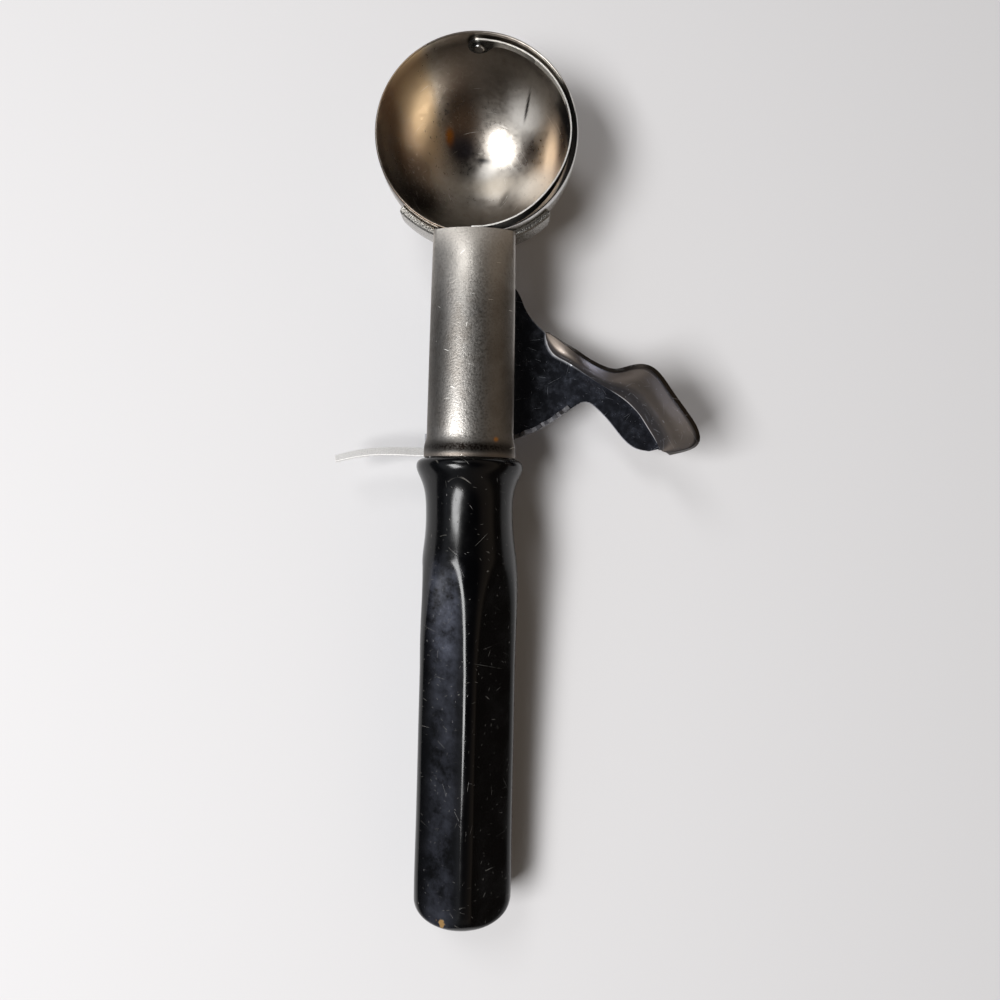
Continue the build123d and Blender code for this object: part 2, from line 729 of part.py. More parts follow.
with BuildPart() as return_spring:
    with BuildLine():
        coil = Helix(spring_pitch, coil_height, coil_radius, (0, pivot_station, coil_bottom))
    with BuildSketch(Plane(origin=coil @ 0, z_dir=coil % 0)):
        Circle(spring_wire_radius)
    sweep(path=coil, is_frenet=True)
    wire(coil_start, (0, -1, 0), spring_leg)
    wire(coil_end, (0, 1, 0), spring_leg)
    for end, way in ((coil_start, -1), (coil_end, 1)):
        corner = (end[0], end[1] + way * spring_leg, end[2])
        with Locations(corner):
            Sphere(spring_wire_radius)
        wire(corner, (0, 0, way), spring_hook)
pieces["return_spring"] = return_spring

# ---- rack tail ----------------------------------------------------------------------------------
with BuildPart() as rack_tail:
    with BuildLine():
        route = Spline(*[(x, rack_station + y, tail_middle) for x, y in tail_route])
    across_route = Vector((route % 0).Y, -(route % 0).X, 0)
    with BuildSketch(Plane(origin=route @ 0, x_dir=across_route, z_dir=route % 0)):
        Rectangle(tail_width, tail_sheet, rotation=tail_lean)
    sweep()
    block(
        (tail_ear_left, tail_ear_right),
        (rack_station + tail_foot_front, rack_station + tail_foot_back),
        (plate_top + seat_gap, plate_top + tail_sheet),
    )
    for centre in tail_rivet_centres:
        post(tail_rivet_radius + seat_gap, centre, plate_top + tail_sheet, 2, Mode.SUBTRACT)
pieces["rack_tail"] = rack_tail

with BuildPart() as tail_rivets:
    for centre in tail_rivet_centres:
        foot_top = plate_top + tail_sheet
        post(tail_rivet_radius, centre, foot_top, foot_top - plate_bottom)
        post(tail_rivet_head_radius, centre, plate_bottom - seat_gap, tail_rivet_head_height)
        post(tail_rivet_radius, centre, plate_bottom, seat_gap)
pieces["tail_rivets"] = tail_rivets

# ---- laid down and written ----------------------------------------------------------------------
leant = Rotation(lean, 0, 0)
leant_pieces = [leant * piece.part for piece in pieces.values()]
spread = Compound(children=leant_pieces).bounding_box()
middle_of_base = Vector(spread.center().X, spread.center().Y, -bowl_radius)
lying = Pos(-middle_of_base) * leant

os.makedirs("parts", exist_ok=True)
for label, piece in pieces.items():
    laid = lying * piece.part
    laid.label = label
    export_step(laid, f"parts/{label}.step")
print("lean", lean, "lever travel", lever_travel, "scraper travel", lever_travel * scraper_ratio)
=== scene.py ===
import json
import math

import bmesh
import bpy
import numpy as np
from mathutils import Matrix, Vector


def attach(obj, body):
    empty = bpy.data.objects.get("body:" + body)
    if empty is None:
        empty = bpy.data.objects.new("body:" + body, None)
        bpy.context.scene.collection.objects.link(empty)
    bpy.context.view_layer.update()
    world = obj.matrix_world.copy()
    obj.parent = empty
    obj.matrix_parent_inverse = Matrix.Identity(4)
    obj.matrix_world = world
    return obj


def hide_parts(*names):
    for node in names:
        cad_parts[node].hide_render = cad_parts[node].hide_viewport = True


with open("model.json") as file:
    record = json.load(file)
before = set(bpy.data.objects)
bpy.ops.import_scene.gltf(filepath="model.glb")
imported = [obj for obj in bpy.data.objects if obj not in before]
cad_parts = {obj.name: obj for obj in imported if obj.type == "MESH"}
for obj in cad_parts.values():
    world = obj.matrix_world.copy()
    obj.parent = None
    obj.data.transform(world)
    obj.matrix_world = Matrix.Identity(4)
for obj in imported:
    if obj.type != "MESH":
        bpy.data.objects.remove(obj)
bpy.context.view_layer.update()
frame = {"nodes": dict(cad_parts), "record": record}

# Lever ice cream scoop. Shapes are worked out in the tool's own frame, in millimetres: the origin is
# the centre of the bowl's sphere, +Y runs along the scraper shaft away from the handle, +Z out of the
# bowl's mouth and +X towards the thumb lever. laid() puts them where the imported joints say.

JOINTS = {joint["name"]: joint for joint in frame["record"]["behaviour"]["joints"]}
CENTRE = np.array(JOINTS["scraper_sweep"]["pos_m"])
ALONG = np.array(JOINTS["scraper_sweep"]["axis"])
UP = -np.array(JOINTS["lever_press"]["axis"])
ACROSS = np.cross(ALONG, UP)
TOOL_AXES = np.array([ACROSS, ALONG, UP])
MM = 0.001
CHIP = (-5.0, -217.4, 12.2)  # where the handle's lacquer is chipped
MERGED, SLIVER = 0.002, 0.001  # in mm: points this near become one, and edges this short go
BEVELLED = math.radians(50)  # edges sharper than this are rounded where a piece asks for it


def laid(points):
    """Points of the tool's frame in mm, as metres in the shared frame."""
    return CENTRE + np.asarray(points, float) @ TOOL_AXES * MM


# ---- curves and meshes --------------------------------------------------------------------------
def curve(points, count, even=False):
    """A natural cubic through the points, sampled count times, evenly in chord length or in index.

    Over a gap g whose ends bend by m and n, at a before the far end and b past the near one, it is
    (m a^3 + n b^3) / 6g plus the straight line that brings it through both ends.
    """
    points = np.asarray(points, float)
    chords = np.linalg.norm(np.diff(points, axis=0), axis=1)
    knots = np.arange(len(points), dtype=float) if even else np.concatenate([[0], np.cumsum(chords)])
    gaps = np.diff(knots)
    size = len(points)
    system = np.eye(size)
    slopes = np.diff(points, axis=0) / gaps[:, None]
    right = np.zeros_like(points)
    inner = np.arange(1, size - 1)
    system[inner, inner - 1] = gaps[:-1]
    system[inner, inner] = 2 * (gaps[:-1] + gaps[1:])
    system[inner, inner + 1] = gaps[1:]
    right[1:-1] = 6 * np.diff(slopes, axis=0)
    bends = np.linalg.solve(system, right)
    at = np.linspace(knots[0], knots[-1], count)
    span = np.clip(np.searchsorted(knots, at, side="right") - 1, 0, size - 2)
    gap = gaps[span][:, None]
    a = (knots[span + 1] - at)[:, None]
    b = (at - knots[span])[:, None]
    low, high = bends[span], bends[span + 1]
    cubic = (low * a**3 + high * b**3) / (6 * gap)
    from_near = (points[span] / gap - low * gap / 6) * a
    return cubic + from_near + (points[span + 1] / gap - high * gap / 6) * b


def ease(value):
    """Smooth step from 0 to 1: 3 v^2 - 2 v^3."""
    value = np.clip(value, 0, 1)
    return value * value * (3 - 2 * value)


def quads(rows, columns, wrap_columns=False):
    """Corner indices of the quads of a grid of points; wrapped columns close on themselves."""
    last = columns if wrap_columns else columns - 1
    r0, c0 = np.meshgrid(np.arange(rows - 1), np.arange(last), indexing="ij")
    r1, c1 = r0 + 1, (c0 + 1) % columns
    corners = (r0 * columns + c0, r0 * columns + c1, r1 * columns + c1, r1 * columns + c0)
    return np.stack(corners, axis=-1).reshape(-1, 4)


def sheet(top, bottom):
    """Points and quads of a closed plate: two skins, each a grid of points, with their rims joined."""
    rows, columns, _ = top.shape
    total = rows * columns
    skin = quads(rows, columns)
    index = np.arange(total).reshape(rows, columns)
    rim = np.concatenate([index[0], index[1:, -1], index[-1, -2::-1], index[-2:0:-1, 0]])
    after = np.roll(rim, -1)
    wall = np.stack([rim, rim + total, after + total, after], axis=-1)
    points = np.concatenate([top.reshape(-1, 3), bottom.reshape(-1, 3)])
    return points, np.concatenate([skin, skin[:, ::-1] + total, wall])


def plug(grid):
    """A closed solid from closed sections, one to a row: each end shrinks to its own middle."""
    ends = [np.broadcast_to(row.mean(axis=0), row.shape)[None] for row in (grid[0], grid[-1])]
    grid = np.concatenate([ends[0], grid, ends[1]])
    return grid.reshape(-1, 3), quads(grid.shape[0], grid.shape[1], wrap_columns=True)


def joined(*parts):
    """Several sets of points and quads as one."""
    starts = np.cumsum([0] + [len(points) for points, _ in parts[:-1]])
    points = np.concatenate([points for points, _ in parts])
    return points, np.concatenate([faces + start for (_, faces), start in zip(parts, starts)])


def piece(name, shape, material, body, nodes=(), bevel=0.0, sharp=40.0, paint=None):
    """A finished piece: merged, normals outwards, smooth but for edges sharper than the angle.

    paint holds a colour, how much of it covers the metal, and how much the spot is dulled; the colours
    are stains and painted light and shade.
    """
    points, faces = shape
    mesh = bpy.data.meshes.new(name)
    mesh.from_pydata(laid(points).tolist(), [], faces.tolist())
    if paint is not None:
        for label, kind, field, values in (
            ("tone_patch", "FLOAT_COLOR", "color", paint[:, :4]), ("dull_share", "FLOAT", "value", paint[:, 4])
        ):
            layer = mesh.attributes.new(label, kind, "POINT")
            layer.data.foreach_set(field, values.astype(np.float32).ravel())
    work = bmesh.new()
    work.from_mesh(mesh)
    bmesh.ops.remove_doubles(work, verts=work.verts, dist=MERGED * MM)
    bmesh.ops.dissolve_degenerate(work, edges=work.edges, dist=SLIVER * MM)
    bmesh.ops.recalc_face_normals(work, faces=work.faces)
    work.to_mesh(mesh)
    work.free()
    mesh.shade_smooth()
    mesh.set_sharp_from_angle(angle=math.radians(sharp))
    made = bpy.data.objects.new(name, mesh)
    bpy.context.scene.collection.objects.link(made)
    if bevel:
        rounding = made.modifiers.new("edge_rounding", "BEVEL")
        rounding.width = bevel * MM
        rounding.segments = 2
        rounding.limit_method = "ANGLE"
        rounding.angle_limit = BEVELLED
    mesh.materials.append(material)
    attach(made, body)
    if nodes:
        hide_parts(*nodes)
    return made


# ---- materials ----------------------------------------------------------------------------------
MIXED = {"data_type": "RGBA"}
MULTIPLIED = {"data_type": "RGBA", "blend_type": "MULTIPLY"}


def linear(colour):
    """An sRGB hex colour as linear red, green, blue and an alpha of 1."""
    parts = [int(colour[i : i + 2], 16) / 255 for i in (1, 3, 5)]
    return [p / 12.92 if p <= 0.04045 else ((p + 0.055) / 1.055) ** 2.4 for p in parts] + [1.0]


def add(tree, kind, inputs=None, stops=None, **settings):
    """Adds one node. inputs gives its sockets a value or the socket that feeds them."""
    made = tree.nodes.new("ShaderNode" + kind)
    for key, value in settings.items():
        setattr(made, key, value)
    for key, value in (inputs or {}).items():
        if isinstance(value, bpy.types.NodeSocket):
            tree.links.new(value, made.inputs[key])
        else:
            made.inputs[key].default_value = value
    if stops:
        ramp = made.color_ramp.elements
        while len(ramp) < len(stops):
            ramp.new(0.5)
        for element, (place, colour) in zip(ramp, stops):
            element.position = place
            element.color = linear(colour) if isinstance(colour, str) else [colour] * 3 + [1.0]
    return made


def started(name, metallic=1.0):
    """An empty material's tree, its surface shader and its output in mm of the shared frame."""
    material = bpy.data.materials.new(name)
    material.use_nodes = True
    tree = material.node_tree
    tree.nodes.clear()
    surface = add(tree, "BsdfPrincipled", {"Metallic": metallic})
    output = add(tree, "OutputMaterial", {"Surface": surface.outputs[0]})
    output.is_active_output = True
    place = add(tree, "TexCoord").outputs["Object"]
    millimetres = add(tree, "VectorMath", {0: place, "Scale": 1000.0}, operation="SCALE").outputs[0]
    return material, tree, surface, millimetres


def scratches(tree, mm, spacing, half_width, half_length):
    """Short straight scratches: in each cell of a scatter, one thin slab turned its own way."""
    cells = add(tree, "TexVoronoi", {"Vector": mm, "Scale": 1 / spacing})
    offset = add(tree, "VectorMath", {0: mm, 1: cells.outputs["Position"]}, operation="SUBTRACT")
    turn = add(tree, "VectorMath", {0: cells.outputs["Color"], "Scale": 2 * math.pi}, operation="SCALE")
    turned = add(
        tree, "VectorRotate", {"Vector": offset.outputs[0], "Rotation": turn.outputs[0]},
        rotation_type="EULER_XYZ",
    )
    parts = add(tree, "SeparateXYZ", {0: turned.outputs[0]})
    inside = []
    for part, half in zip(parts.outputs, (half_width, half_length)):
        off = add(tree, "Math", {0: part}, operation="ABSOLUTE").outputs[0]
        fade = {"Value": off, "From Min": half / 2, "From Max": half, "To Min": 1.0, "To Max": 0.0}
        inside.append(add(tree, "MapRange", fade).outputs[0])
    return add(tree, "Math", {0: inside[0], 1: inside[1]}, operation="MULTIPLY").outputs[0]


def with_stains_and_painted_light(tree, colour, roughness, patchy, dullest=0.75):
    """Lays painted stains, light and shade over a colour, broken up by a texture; dulls what is marked
    dull.
    """
    tone_patch = add(tree, "Attribute", attribute_name="tone_patch")
    dull_share = add(tree, "Attribute", attribute_name="dull_share").outputs["Fac"]
    cover = add(
        tree, "Math", {0: tone_patch.outputs["Alpha"], 1: patchy}, operation="MULTIPLY", use_clamp=True
    ).outputs[0]
    tint = add(tree, "Mix", {"Factor": cover, "A": colour, "B": tone_patch.outputs["Color"]}, **MIXED)
    dull = add(tree, "Mix", {"Factor": dull_share, "A": roughness, "B": dullest})
    return tint.outputs["Result"], dull.outputs[0]


def painted_shade_matte(tree, surface):
    """What is dulled almost fully is painted shade: not metal itself, and with hardly a sheen."""
    dull_share = add(tree, "Attribute", attribute_name="dull_share").outputs["Fac"]
    bare = add(
        tree, "MapRange",
        {"Value": dull_share, "From Min": 0.8, "From Max": 0.95, "To Min": 1.0, "To Max": 0.0},
    )
    tree.links.new(bare.outputs[0], surface.inputs["Metallic"])
    surface.inputs["Specular IOR Level"].default_value = 0.05


def finish(tree, surface, colour, roughness, height, depth):
    """Feeds the surface its colour, roughness and a bump of the given depth in mm."""
    bump = add(tree, "Bump", {"Height": height, "Strength": 1.0, "Distance": depth * MM})
    tree.links.new(colour, surface.inputs["Base Color"])
    tree.links.new(roughness, surface.inputs["Roughness"])
    tree.links.new(bump.outputs[0], surface.inputs["Normal"])


def satin_nickel_plate():
    """Nickel-plated sheet steel, gone satin: an orange-peel grain of 0.6 mm glitters.

    The stains are about 11 mm across. The nicks are real ones' size, one to each 9 mm.
    """
    material, tree, surface, mm = started("satin_nickel_plate")
    grain = add(tree, "TexNoise", {"Vector": mm, "Scale": 1.7, "Detail": 3.0, "Roughness": 0.6})
    tone_patch = add(tree, "TexNoise", {"Vector": mm, "Scale": 0.09, "Detail": 6.0, "Roughness": 0.6})
    tone = add(
        tree, "ValToRGB", {"Fac": tone_patch.outputs[0]},
        stops=[(0.36, "#7c7771"), (0.5, "#8f8c88"), (0.68, "#78736d")],
    )
    specks = add(tree, "ValToRGB", {"Fac": grain.outputs[0]}, stops=[(0.34, 0.62), (0.5, 1.0)])
    rough = add(
        tree, "MapRange",
        {"Value": grain.outputs[0], "From Min": 0.3, "From Max": 0.7, "To Min": 0.32, "To Max": 0.42},
    )
    nicks = scratches(tree, mm, 9.0, 0.07, 0.7)
    speckled = add(
        tree, "Mix", {"Factor": 0.55, "A": tone.outputs[0], "B": specks.outputs[0]}, **MULTIPLIED
    ).outputs["Result"]
    patchy = add(
        tree, "MapRange",
        {"Value": grain.outputs[0], "From Min": 0.3, "From Max": 0.6, "To Min": 0.8, "To Max": 1.1},
    )
    colour, dull = with_stains_and_painted_light(tree, speckled, rough.outputs[0], patchy.outputs[0])
    nicked = add(tree, "Mix", {"Factor": nicks, "A": colour, "B": linear("#efece6")}, **MIXED)
    finish(tree, surface, nicked.outputs["Result"], dull, grain.outputs[0], 0.06)
    return material


def plain_metal(name, colour, roughness, grain, depth, painted=False):
    """A turned, rolled or cast metal: even colour, with a grain of so many cells per mm."""
    material, tree, surface, mm = started(name)
    cells = add(tree, "TexNoise", {"Vector": mm, "Scale": grain, "Detail": 3.0, "Roughness": 0.6})
    shade = add(tree, "MapRange", {"Value": cells.outputs[0], "To Min": 0.7, "To Max": 1.25})
    rough = add(
        tree, "MapRange",
        {"Value": cells.outputs[0], "To Min": 0.7 * roughness, "To Max": 1.3 * roughness},
    )
    tint = add(
        tree, "Mix", {"Factor": 1.0, "A": linear(colour), "B": shade.outputs[0]}, **MULTIPLIED
    ).outputs["Result"]
    dull = rough.outputs[0]
    if painted:
        tint, dull = with_stains_and_painted_light(tree, tint, dull, shade.outputs[0])
    finish(tree, surface, tint, dull, cells.outputs[0], depth)
    return material


def bright_lever_plate():
    """Chromed steel sheet, a dark mirror; on the thumb pad a brownish satin is painted, a painted
    reflection of the warm room.

    Haze comes in clouds of 3 mm over an orange peel of 1 mm. Both kinds of scratch are a tenth of a
    millimetre wide, the finest that shows.
    """
    material, tree, surface, mm = started("bright_lever_plate")
    cloud = add(tree, "TexNoise", {"Vector": mm, "Scale": 0.35, "Detail": 6.0, "Roughness": 0.65})
    peel = add(tree, "TexNoise", {"Vector": mm, "Scale": 1.1, "Detail": 2.0})
    haze = add(
        tree, "MapRange",
        {"Value": cloud.outputs[0], "From Min": 0.45, "From Max": 0.75, "To Min": 0.14, "To Max": 0.27},
    )
    patchy = add(tree, "MapRange", {"Value": cloud.outputs[0], "To Min": 0.85, "To Max": 1.15})
    colour, rough = with_stains_and_painted_light(tree, linear("#7d818c"), haze.outputs[0], patchy.outputs[0])
    painted_shade_matte(tree, surface)
    fine = scratches(tree, mm, 2.6, 0.05, 0.25)
    long = scratches(tree, mm, 5.0, 0.045, 1.6)
    both = add(tree, "Math", {0: fine, 1: long}, operation="MAXIMUM").outputs[0]
    marks = add(tree, "Math", {0: both, 1: 0.35}, operation="MULTIPLY").outputs[0]
    pale = add(tree, "Mix", {"Factor": marks, "A": colour, "B": linear("#f0f2f8")}, **MIXED)
    dulled = add(tree, "Mix", {"Factor": marks, "A": rough, "B": 0.5})
    finish(tree, surface, pale.outputs["Result"], dulled.outputs[0], peel.outputs[0], 0.012)
    return material


def spun_bowl_steel():
    """Spun steel, polished by the scraper: grey clouds of tone under painted reflections, highlights
    and shade, round rubbing lines.

    Clouds are 6 mm and flecks 1.4 mm across. The lines run round the bowl's middle, from noise over
    the distance out and the bearing; half a millimetre apart, they are as coarse as it takes to show.
    """
    material, tree, surface, mm = started("spun_bowl_steel")
    cloud = add(tree, "TexNoise", {"Vector": mm, "Scale": 0.16, "Detail": 7.0, "Roughness": 0.62})
    fleck = add(tree, "TexNoise", {"Vector": mm, "Scale": 0.7, "Detail": 7.0, "Roughness": 0.75})
    tone = add(
        tree, "ValToRGB", {"Fac": cloud.outputs[0]},
        stops=[(0.35, "#9d978f"), (0.5, "#afa9a1"), (0.66, "#8d867e")],
    )
    patchy = add(
        tree, "MapRange",
        {"Value": fleck.outputs[0], "From Min": 0.3, "From Max": 0.5, "To Min": 0.86, "To Max": 1.15},
    )
    pits = add(tree, "ValToRGB", {"Fac": fleck.outputs[0]}, stops=[(0.24, 0.6), (0.38, 1.0)])
    centred = add(tree, "Mapping", {"Vector": mm, "Location": tuple(-CENTRE / MM)}).outputs[0]
    flat = add(tree, "VectorMath", {0: centred, 1: (1.0, 1.0, 0.0)}, operation="MULTIPLY")
    ring = add(tree, "VectorMath", {0: flat.outputs[0]}, operation="LENGTH")
    parts = add(tree, "SeparateXYZ", {0: centred})
    bearing = add(tree, "Math", {0: parts.outputs[1], 1: parts.outputs[0]}, operation="ARCTAN2")
    spread = add(tree, "Math", {0: ring.outputs["Value"], 1: 2.2}, operation="MULTIPLY")
    polar = add(tree, "CombineXYZ", {0: spread.outputs[0], 1: bearing.outputs[0]})
    rings = add(
        tree, "TexNoise", {"Vector": polar.outputs[0], "Scale": 1.0, "Detail": 4.0, "Roughness": 0.6}
    )
    lines = add(tree, "MapRange", {"Value": rings.outputs[0], "From Min": 0.66, "From Max": 0.72})
    rough = add(
        tree, "MapRange",
        {"Value": fleck.outputs[0], "From Min": 0.35, "From Max": 0.65, "To Min": 0.24, "To Max": 0.36},
    )
    colour, dull = with_stains_and_painted_light(tree, tone.outputs[0], rough.outputs[0], patchy.outputs[0])
    painted_shade_matte(tree, surface)
    pitted = add(tree, "Mix", {"Factor": 0.5, "A": colour, "B": pits.outputs[0]}, **MULTIPLIED)
    lined = add(
        tree, "Mix",
        {"Factor": lines.outputs[0], "A": pitted.outputs["Result"], "B": linear("#dedad4")}, **MIXED,
    )
    height = add(tree, "Math", {0: rings.outputs[0], 1: fleck.outputs[0]}, operation="ADD")
    finish(tree, surface, lined.outputs["Result"], dull, height.outputs[0], 0.014)
    return material


def black_lacquered_wood():
    """Turned beech under glossy black lacquer, with pale scratches and one chip down to the wood.

    Scratches are a tenth of a millimetre wide and 0.6 or 3 mm long, and lie where a rub of some 8 mm
    shows. The chip is a ragged spot 3 mm across.
    """
    material, tree, surface, mm = started("black_lacquered_wood", metallic=0.0)
    surface.inputs["Specular IOR Level"].default_value = 0.3
    fine = scratches(tree, mm, 2.6, 0.06, 0.3)
    long = scratches(tree, mm, 8.0, 0.05, 1.5)
    rub = add(tree, "TexNoise", {"Vector": mm, "Scale": 0.12, "Detail": 7.0, "Roughness": 0.7})
    where = add(tree, "MapRange", {"Value": rub.outputs[0], "From Min": 0.42, "From Max": 0.7})
    both = add(tree, "Math", {0: fine, 1: long}, operation="MAXIMUM")
    rubs = {0: both.outputs[0], 1: where.outputs[0]}
    marks = add(tree, "Math", rubs, operation="MULTIPLY").outputs[0]
    rough = add(
        tree, "MapRange",
        {"Value": rub.outputs[0], "From Min": 0.4, "From Max": 0.7, "To Min": 0.12, "To Max": 0.24},
    )
    streaky = add(tree, "MapRange", {"Value": rub.outputs[0], "From Min": 0.38, "From Max": 0.66})
    colour, rough = with_stains_and_painted_light(tree, linear("#030304"), rough.outputs[0], streaky.outputs[0], 0.5)
    marked = add(tree, "Mix", {"Factor": marks, "A": colour, "B": linear("#6b6964")}, **MIXED)
    away = add(tree, "VectorMath", {0: mm, 1: tuple(laid(CHIP) / MM)}, operation="DISTANCE")
    ragged = add(tree, "TexNoise", {"Vector": mm, "Scale": 0.8, "Detail": 4.0})
    rim = add(tree, "Math", {0: ragged.outputs[0], 1: 3.4}, operation="MULTIPLY")
    reach = add(tree, "Math", {0: away.outputs["Value"], 1: rim.outputs[0]}, operation="ADD")
    chip = add(
        tree, "MapRange",
        {"Value": reach.outputs[0], "From Min": 3.0, "From Max": 3.3, "To Min": 1.0, "To Max": 0.0},
    ).outputs[0]
    chipped = add(
        tree, "Mix", {"Factor": chip, "A": marked.outputs["Result"], "B": linear("#86683d")}, **MIXED
    )
    dulled = add(tree, "Mix", {"Factor": chip, "A": rough, "B": 0.8})
    dents = add(tree, "Math", {0: marks, 1: chip}, operation="MAXIMUM")
    hollow = add(tree, "Math", {0: dents.outputs[0], 1: -1.0}, operation="MULTIPLY")
    finish(tree, surface, chipped.outputs["Result"], dulled.outputs[0], hollow.outputs[0], 0.04)
    return material


COVER_STEEL = satin_nickel_plate()
BOWL_STEEL = spun_bowl_steel()
LACQUER = black_lacquered_wood()
LEVER_STEEL = bright_lever_plate()
RACK_STEEL = plain_metal("worn_rack_teeth", "#9a9a9e", 0.38, 1.6, 0.03)
NICKEL_SILVER = plain_metal("cast_nickel_silver", "#b4b1ab", 0.27, 2.2, 0.06)
SPRING_STEEL = plain_metal("spring_steel", "#fbfaf8", 0.68, 3.0, 0.01)
BLADE_STEEL = plain_metal("scraped_blade_steel", "#f0eee9", 0.5, 2.4, 0.03, painted=True)
PLAIN_STEEL = plain_metal("plain_steel", "#b5b4b2", 0.24, 3.0, 0.02)
BRASS = plain_metal("bearing_brass", "#b08d4f", 0.3, 3.0, 0.02)
NODE_MATERIALS = {
    "polished_bowl_steel": BOWL_STEEL,
    "cast_nickel_silver": NICKEL_SILVER,
    "satin_cover_steel": COVER_STEEL,
    "plated_lever_steel": LEVER_STEEL,
    "spring_steel": SPRING_STEEL,
    "plain_steel": PLAIN_STEEL,
    "bearing_brass": BRASS,
    "black_lacquered_wood": LACQUER,
}
for part in frame["record"]["subparts"]:
    node = frame["nodes"][part["node"]]
    node.data.materials.clear()
    node.data.materials.append(NODE_MATERIALS[part["material_slot"]])

# ---- bowl ---------------------------------------------------------------------------------------
BOWL_RADIUS = 28.497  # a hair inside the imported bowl, whose mesh is faceted
BOWL_WALL = 0.7
RIM_HEIGHT = 4.5
# patches laid on the bowl in plan: the golden-brown ones on the left are a painted reflection of the
# room's warm side, the dark ones in the middle a painted reflection of what is overhead, the white and
# pale ones painted highlights and sheen round the lamp's reflection, and the dark one along the right
# rim painted shade; each is place, half-sizes, turn in degrees, colour, how much it covers, how dull it
# is
TARNISH_AND_PAINTED_LIGHT = [
    ((-21.5, 9.0), (8.0, 18.0), 18, "#a38c74", 0.8, 0.12),
    ((-21.0, 18.0), (5.0, 6.0), 0, "#c3ab8b", 0.7, 0.2),
    ((-16.8, 15.0), (4.2, 10.5), 8, "#c2aa8b", 0.95, 0.05),
    ((-5.8, 17.0), (6.4, 11.5), 0, "#685749", 0.9, 0.0),
    ((1.0, 25.0), (15.0, 4.0), 0, "#7d736b", 0.6, 0.15),
    ((-20.5, 1.0), (5.5, 5.0), 0, "#4f4138", 0.8, 0.0),
    ((-18.5, -9.0), (9.0, 9.0), 35, "#2a2421", 0.9, 0.0),
    ((-25.0, 7.0), (2.2, 9.0), 12, "#6b4e36", 0.4, 0.0),
    ((-9.6, 12.0), (1.3, 2.2), 0, "#b06d1a", 0.9, 0.0),
    ((-6.0, 9.5), (4.5, 4.0), 0, "#3b3a40", 0.85, 0.0),
    ((14.5, 17.0), (4.0, 7.2), 50, "#d8d5d0", 0.9, 0.68),
    ((5.0, -1.4), (14.0, 3.4), 0, "#b3aa9d", 0.7, 0.38),
    ((3.0, -13.0), (13.0, 5.0), 0, "#8f867b", 0.6, 0.3),
    ((1.2, 6.6), (2.6, 0.8), -8, "#151519", 0.9, 0.0),
    ((15.6, 7.3), (3.2, 3.4), 0, "#4b4139", 0.6, 0.0),
    ((25.3, 10.0), (2.4, 12.0), 0, "#3b332d", 0.9, 0.0),
    ((8.2, -5.8), (1.3, 3.2), -30, "#5b534b", 0.7, 0.1),
    ((22.0, 3.0), (1.9, 7.5), -6, "#fbf3e4", 0.95, 0.2),
    ((18.0, -5.0), (6.5, 6.0), 25, "#fffaf0", 0.93, 0.55),
    ((2.2, 3.6), (4.0, 2.6), 35, "#cfcbc5", 0.8, 0.42),
    ((14.5, 18.0), (0.35, 2.6), -14, "#141414", 0.95, 0.0),
]


def stains_and_painted_light(points, patches):
    """Colour, cover and dullness at each point: soft ovals in plan laid over one another in turn."""
    paint = np.zeros((len(points), 5))
    for (x, y), (half_x, half_y), turn, colour, strength, dull in patches:
        angle = math.radians(turn)
        dx, dy = points[:, 0] - x, points[:, 1] - y
        across = (dx * math.cos(angle) + dy * math.sin(angle)) / half_x
        along = (dy * math.cos(angle) - dx * math.sin(angle)) / half_y
        lay(paint, strength * np.exp(-((across**2 + along**2) ** 1.5)), colour, dull)
    return paint


def lay(paint, share, colour, dull=0.0):
    """Lays one colour over the paint by the share given for each point."""
    cover = paint[:, 3] + share - paint[:, 3] * share
    weight = (share / np.maximum(cover, 1e-6))[:, None]
    paint[:, :3] = paint[:, :3] * (1 - weight) + np.array(linear(colour)[:3]) * weight
    paint[:, 3] = cover
    paint[:, 4] = paint[:, 4] * (1 - share) + dull * share


def bowl_shape(segments=360):
    """The bowl's section turned round Z: (r cos t, r sin t, z) for each of its points (r, z).

    The section is the outside's quarter circle, a straight wall, a half-round lip and the inside.
    """
    inside = BOWL_RADIUS - BOWL_WALL
    fall = np.linspace(-math.pi / 2, 0, 80)
    lip = np.linspace(0, math.pi, 9)
    lip_radius = BOWL_WALL / 2
    middle = BOWL_RADIUS - lip_radius
    outer = np.stack([BOWL_RADIUS * np.cos(fall), BOWL_RADIUS * np.sin(fall)], axis=1)
    lip_height = RIM_HEIGHT - lip_radius * (1 - np.sin(lip))
    top = np.stack([middle + lip_radius * np.cos(lip), lip_height], axis=1)
    inner = np.stack([inside * np.cos(fall[::-1]), inside * np.sin(fall[::-1])], axis=1)
    section = np.concatenate([outer, top, inner])
    around = np.linspace(0, 2 * math.pi, segments, endpoint=False)
    r, z = section[:, 0], section[:, 1]
    turned = [np.outer(r, np.cos(around)), np.outer(r, np.sin(around)), np.outer(z, np.ones(segments))]
    grid = np.stack(turned, axis=-1)
    return grid.reshape(-1, 3), quads(len(section), segments, wrap_columns=True)


# how far down the wall behind the blade is painted shade, and how much further near the shaft
SHADE_DEPTH, SHADE_DIP = 9, 4
LIP_DEPTH = 0.5
OUTER_SKIN = 0.3  # points less than this inside the outside radius are on the outside

bowl = bowl_shape()
x, y, z = bowl[0].T
outer_skin = np.hypot(np.hypot(x, y), np.minimum(z, 0)) > BOWL_RADIUS - OUTER_SKIN
bowl_paint = stains_and_painted_light(bowl[0], TARNISH_AND_PAINTED_LIGHT)
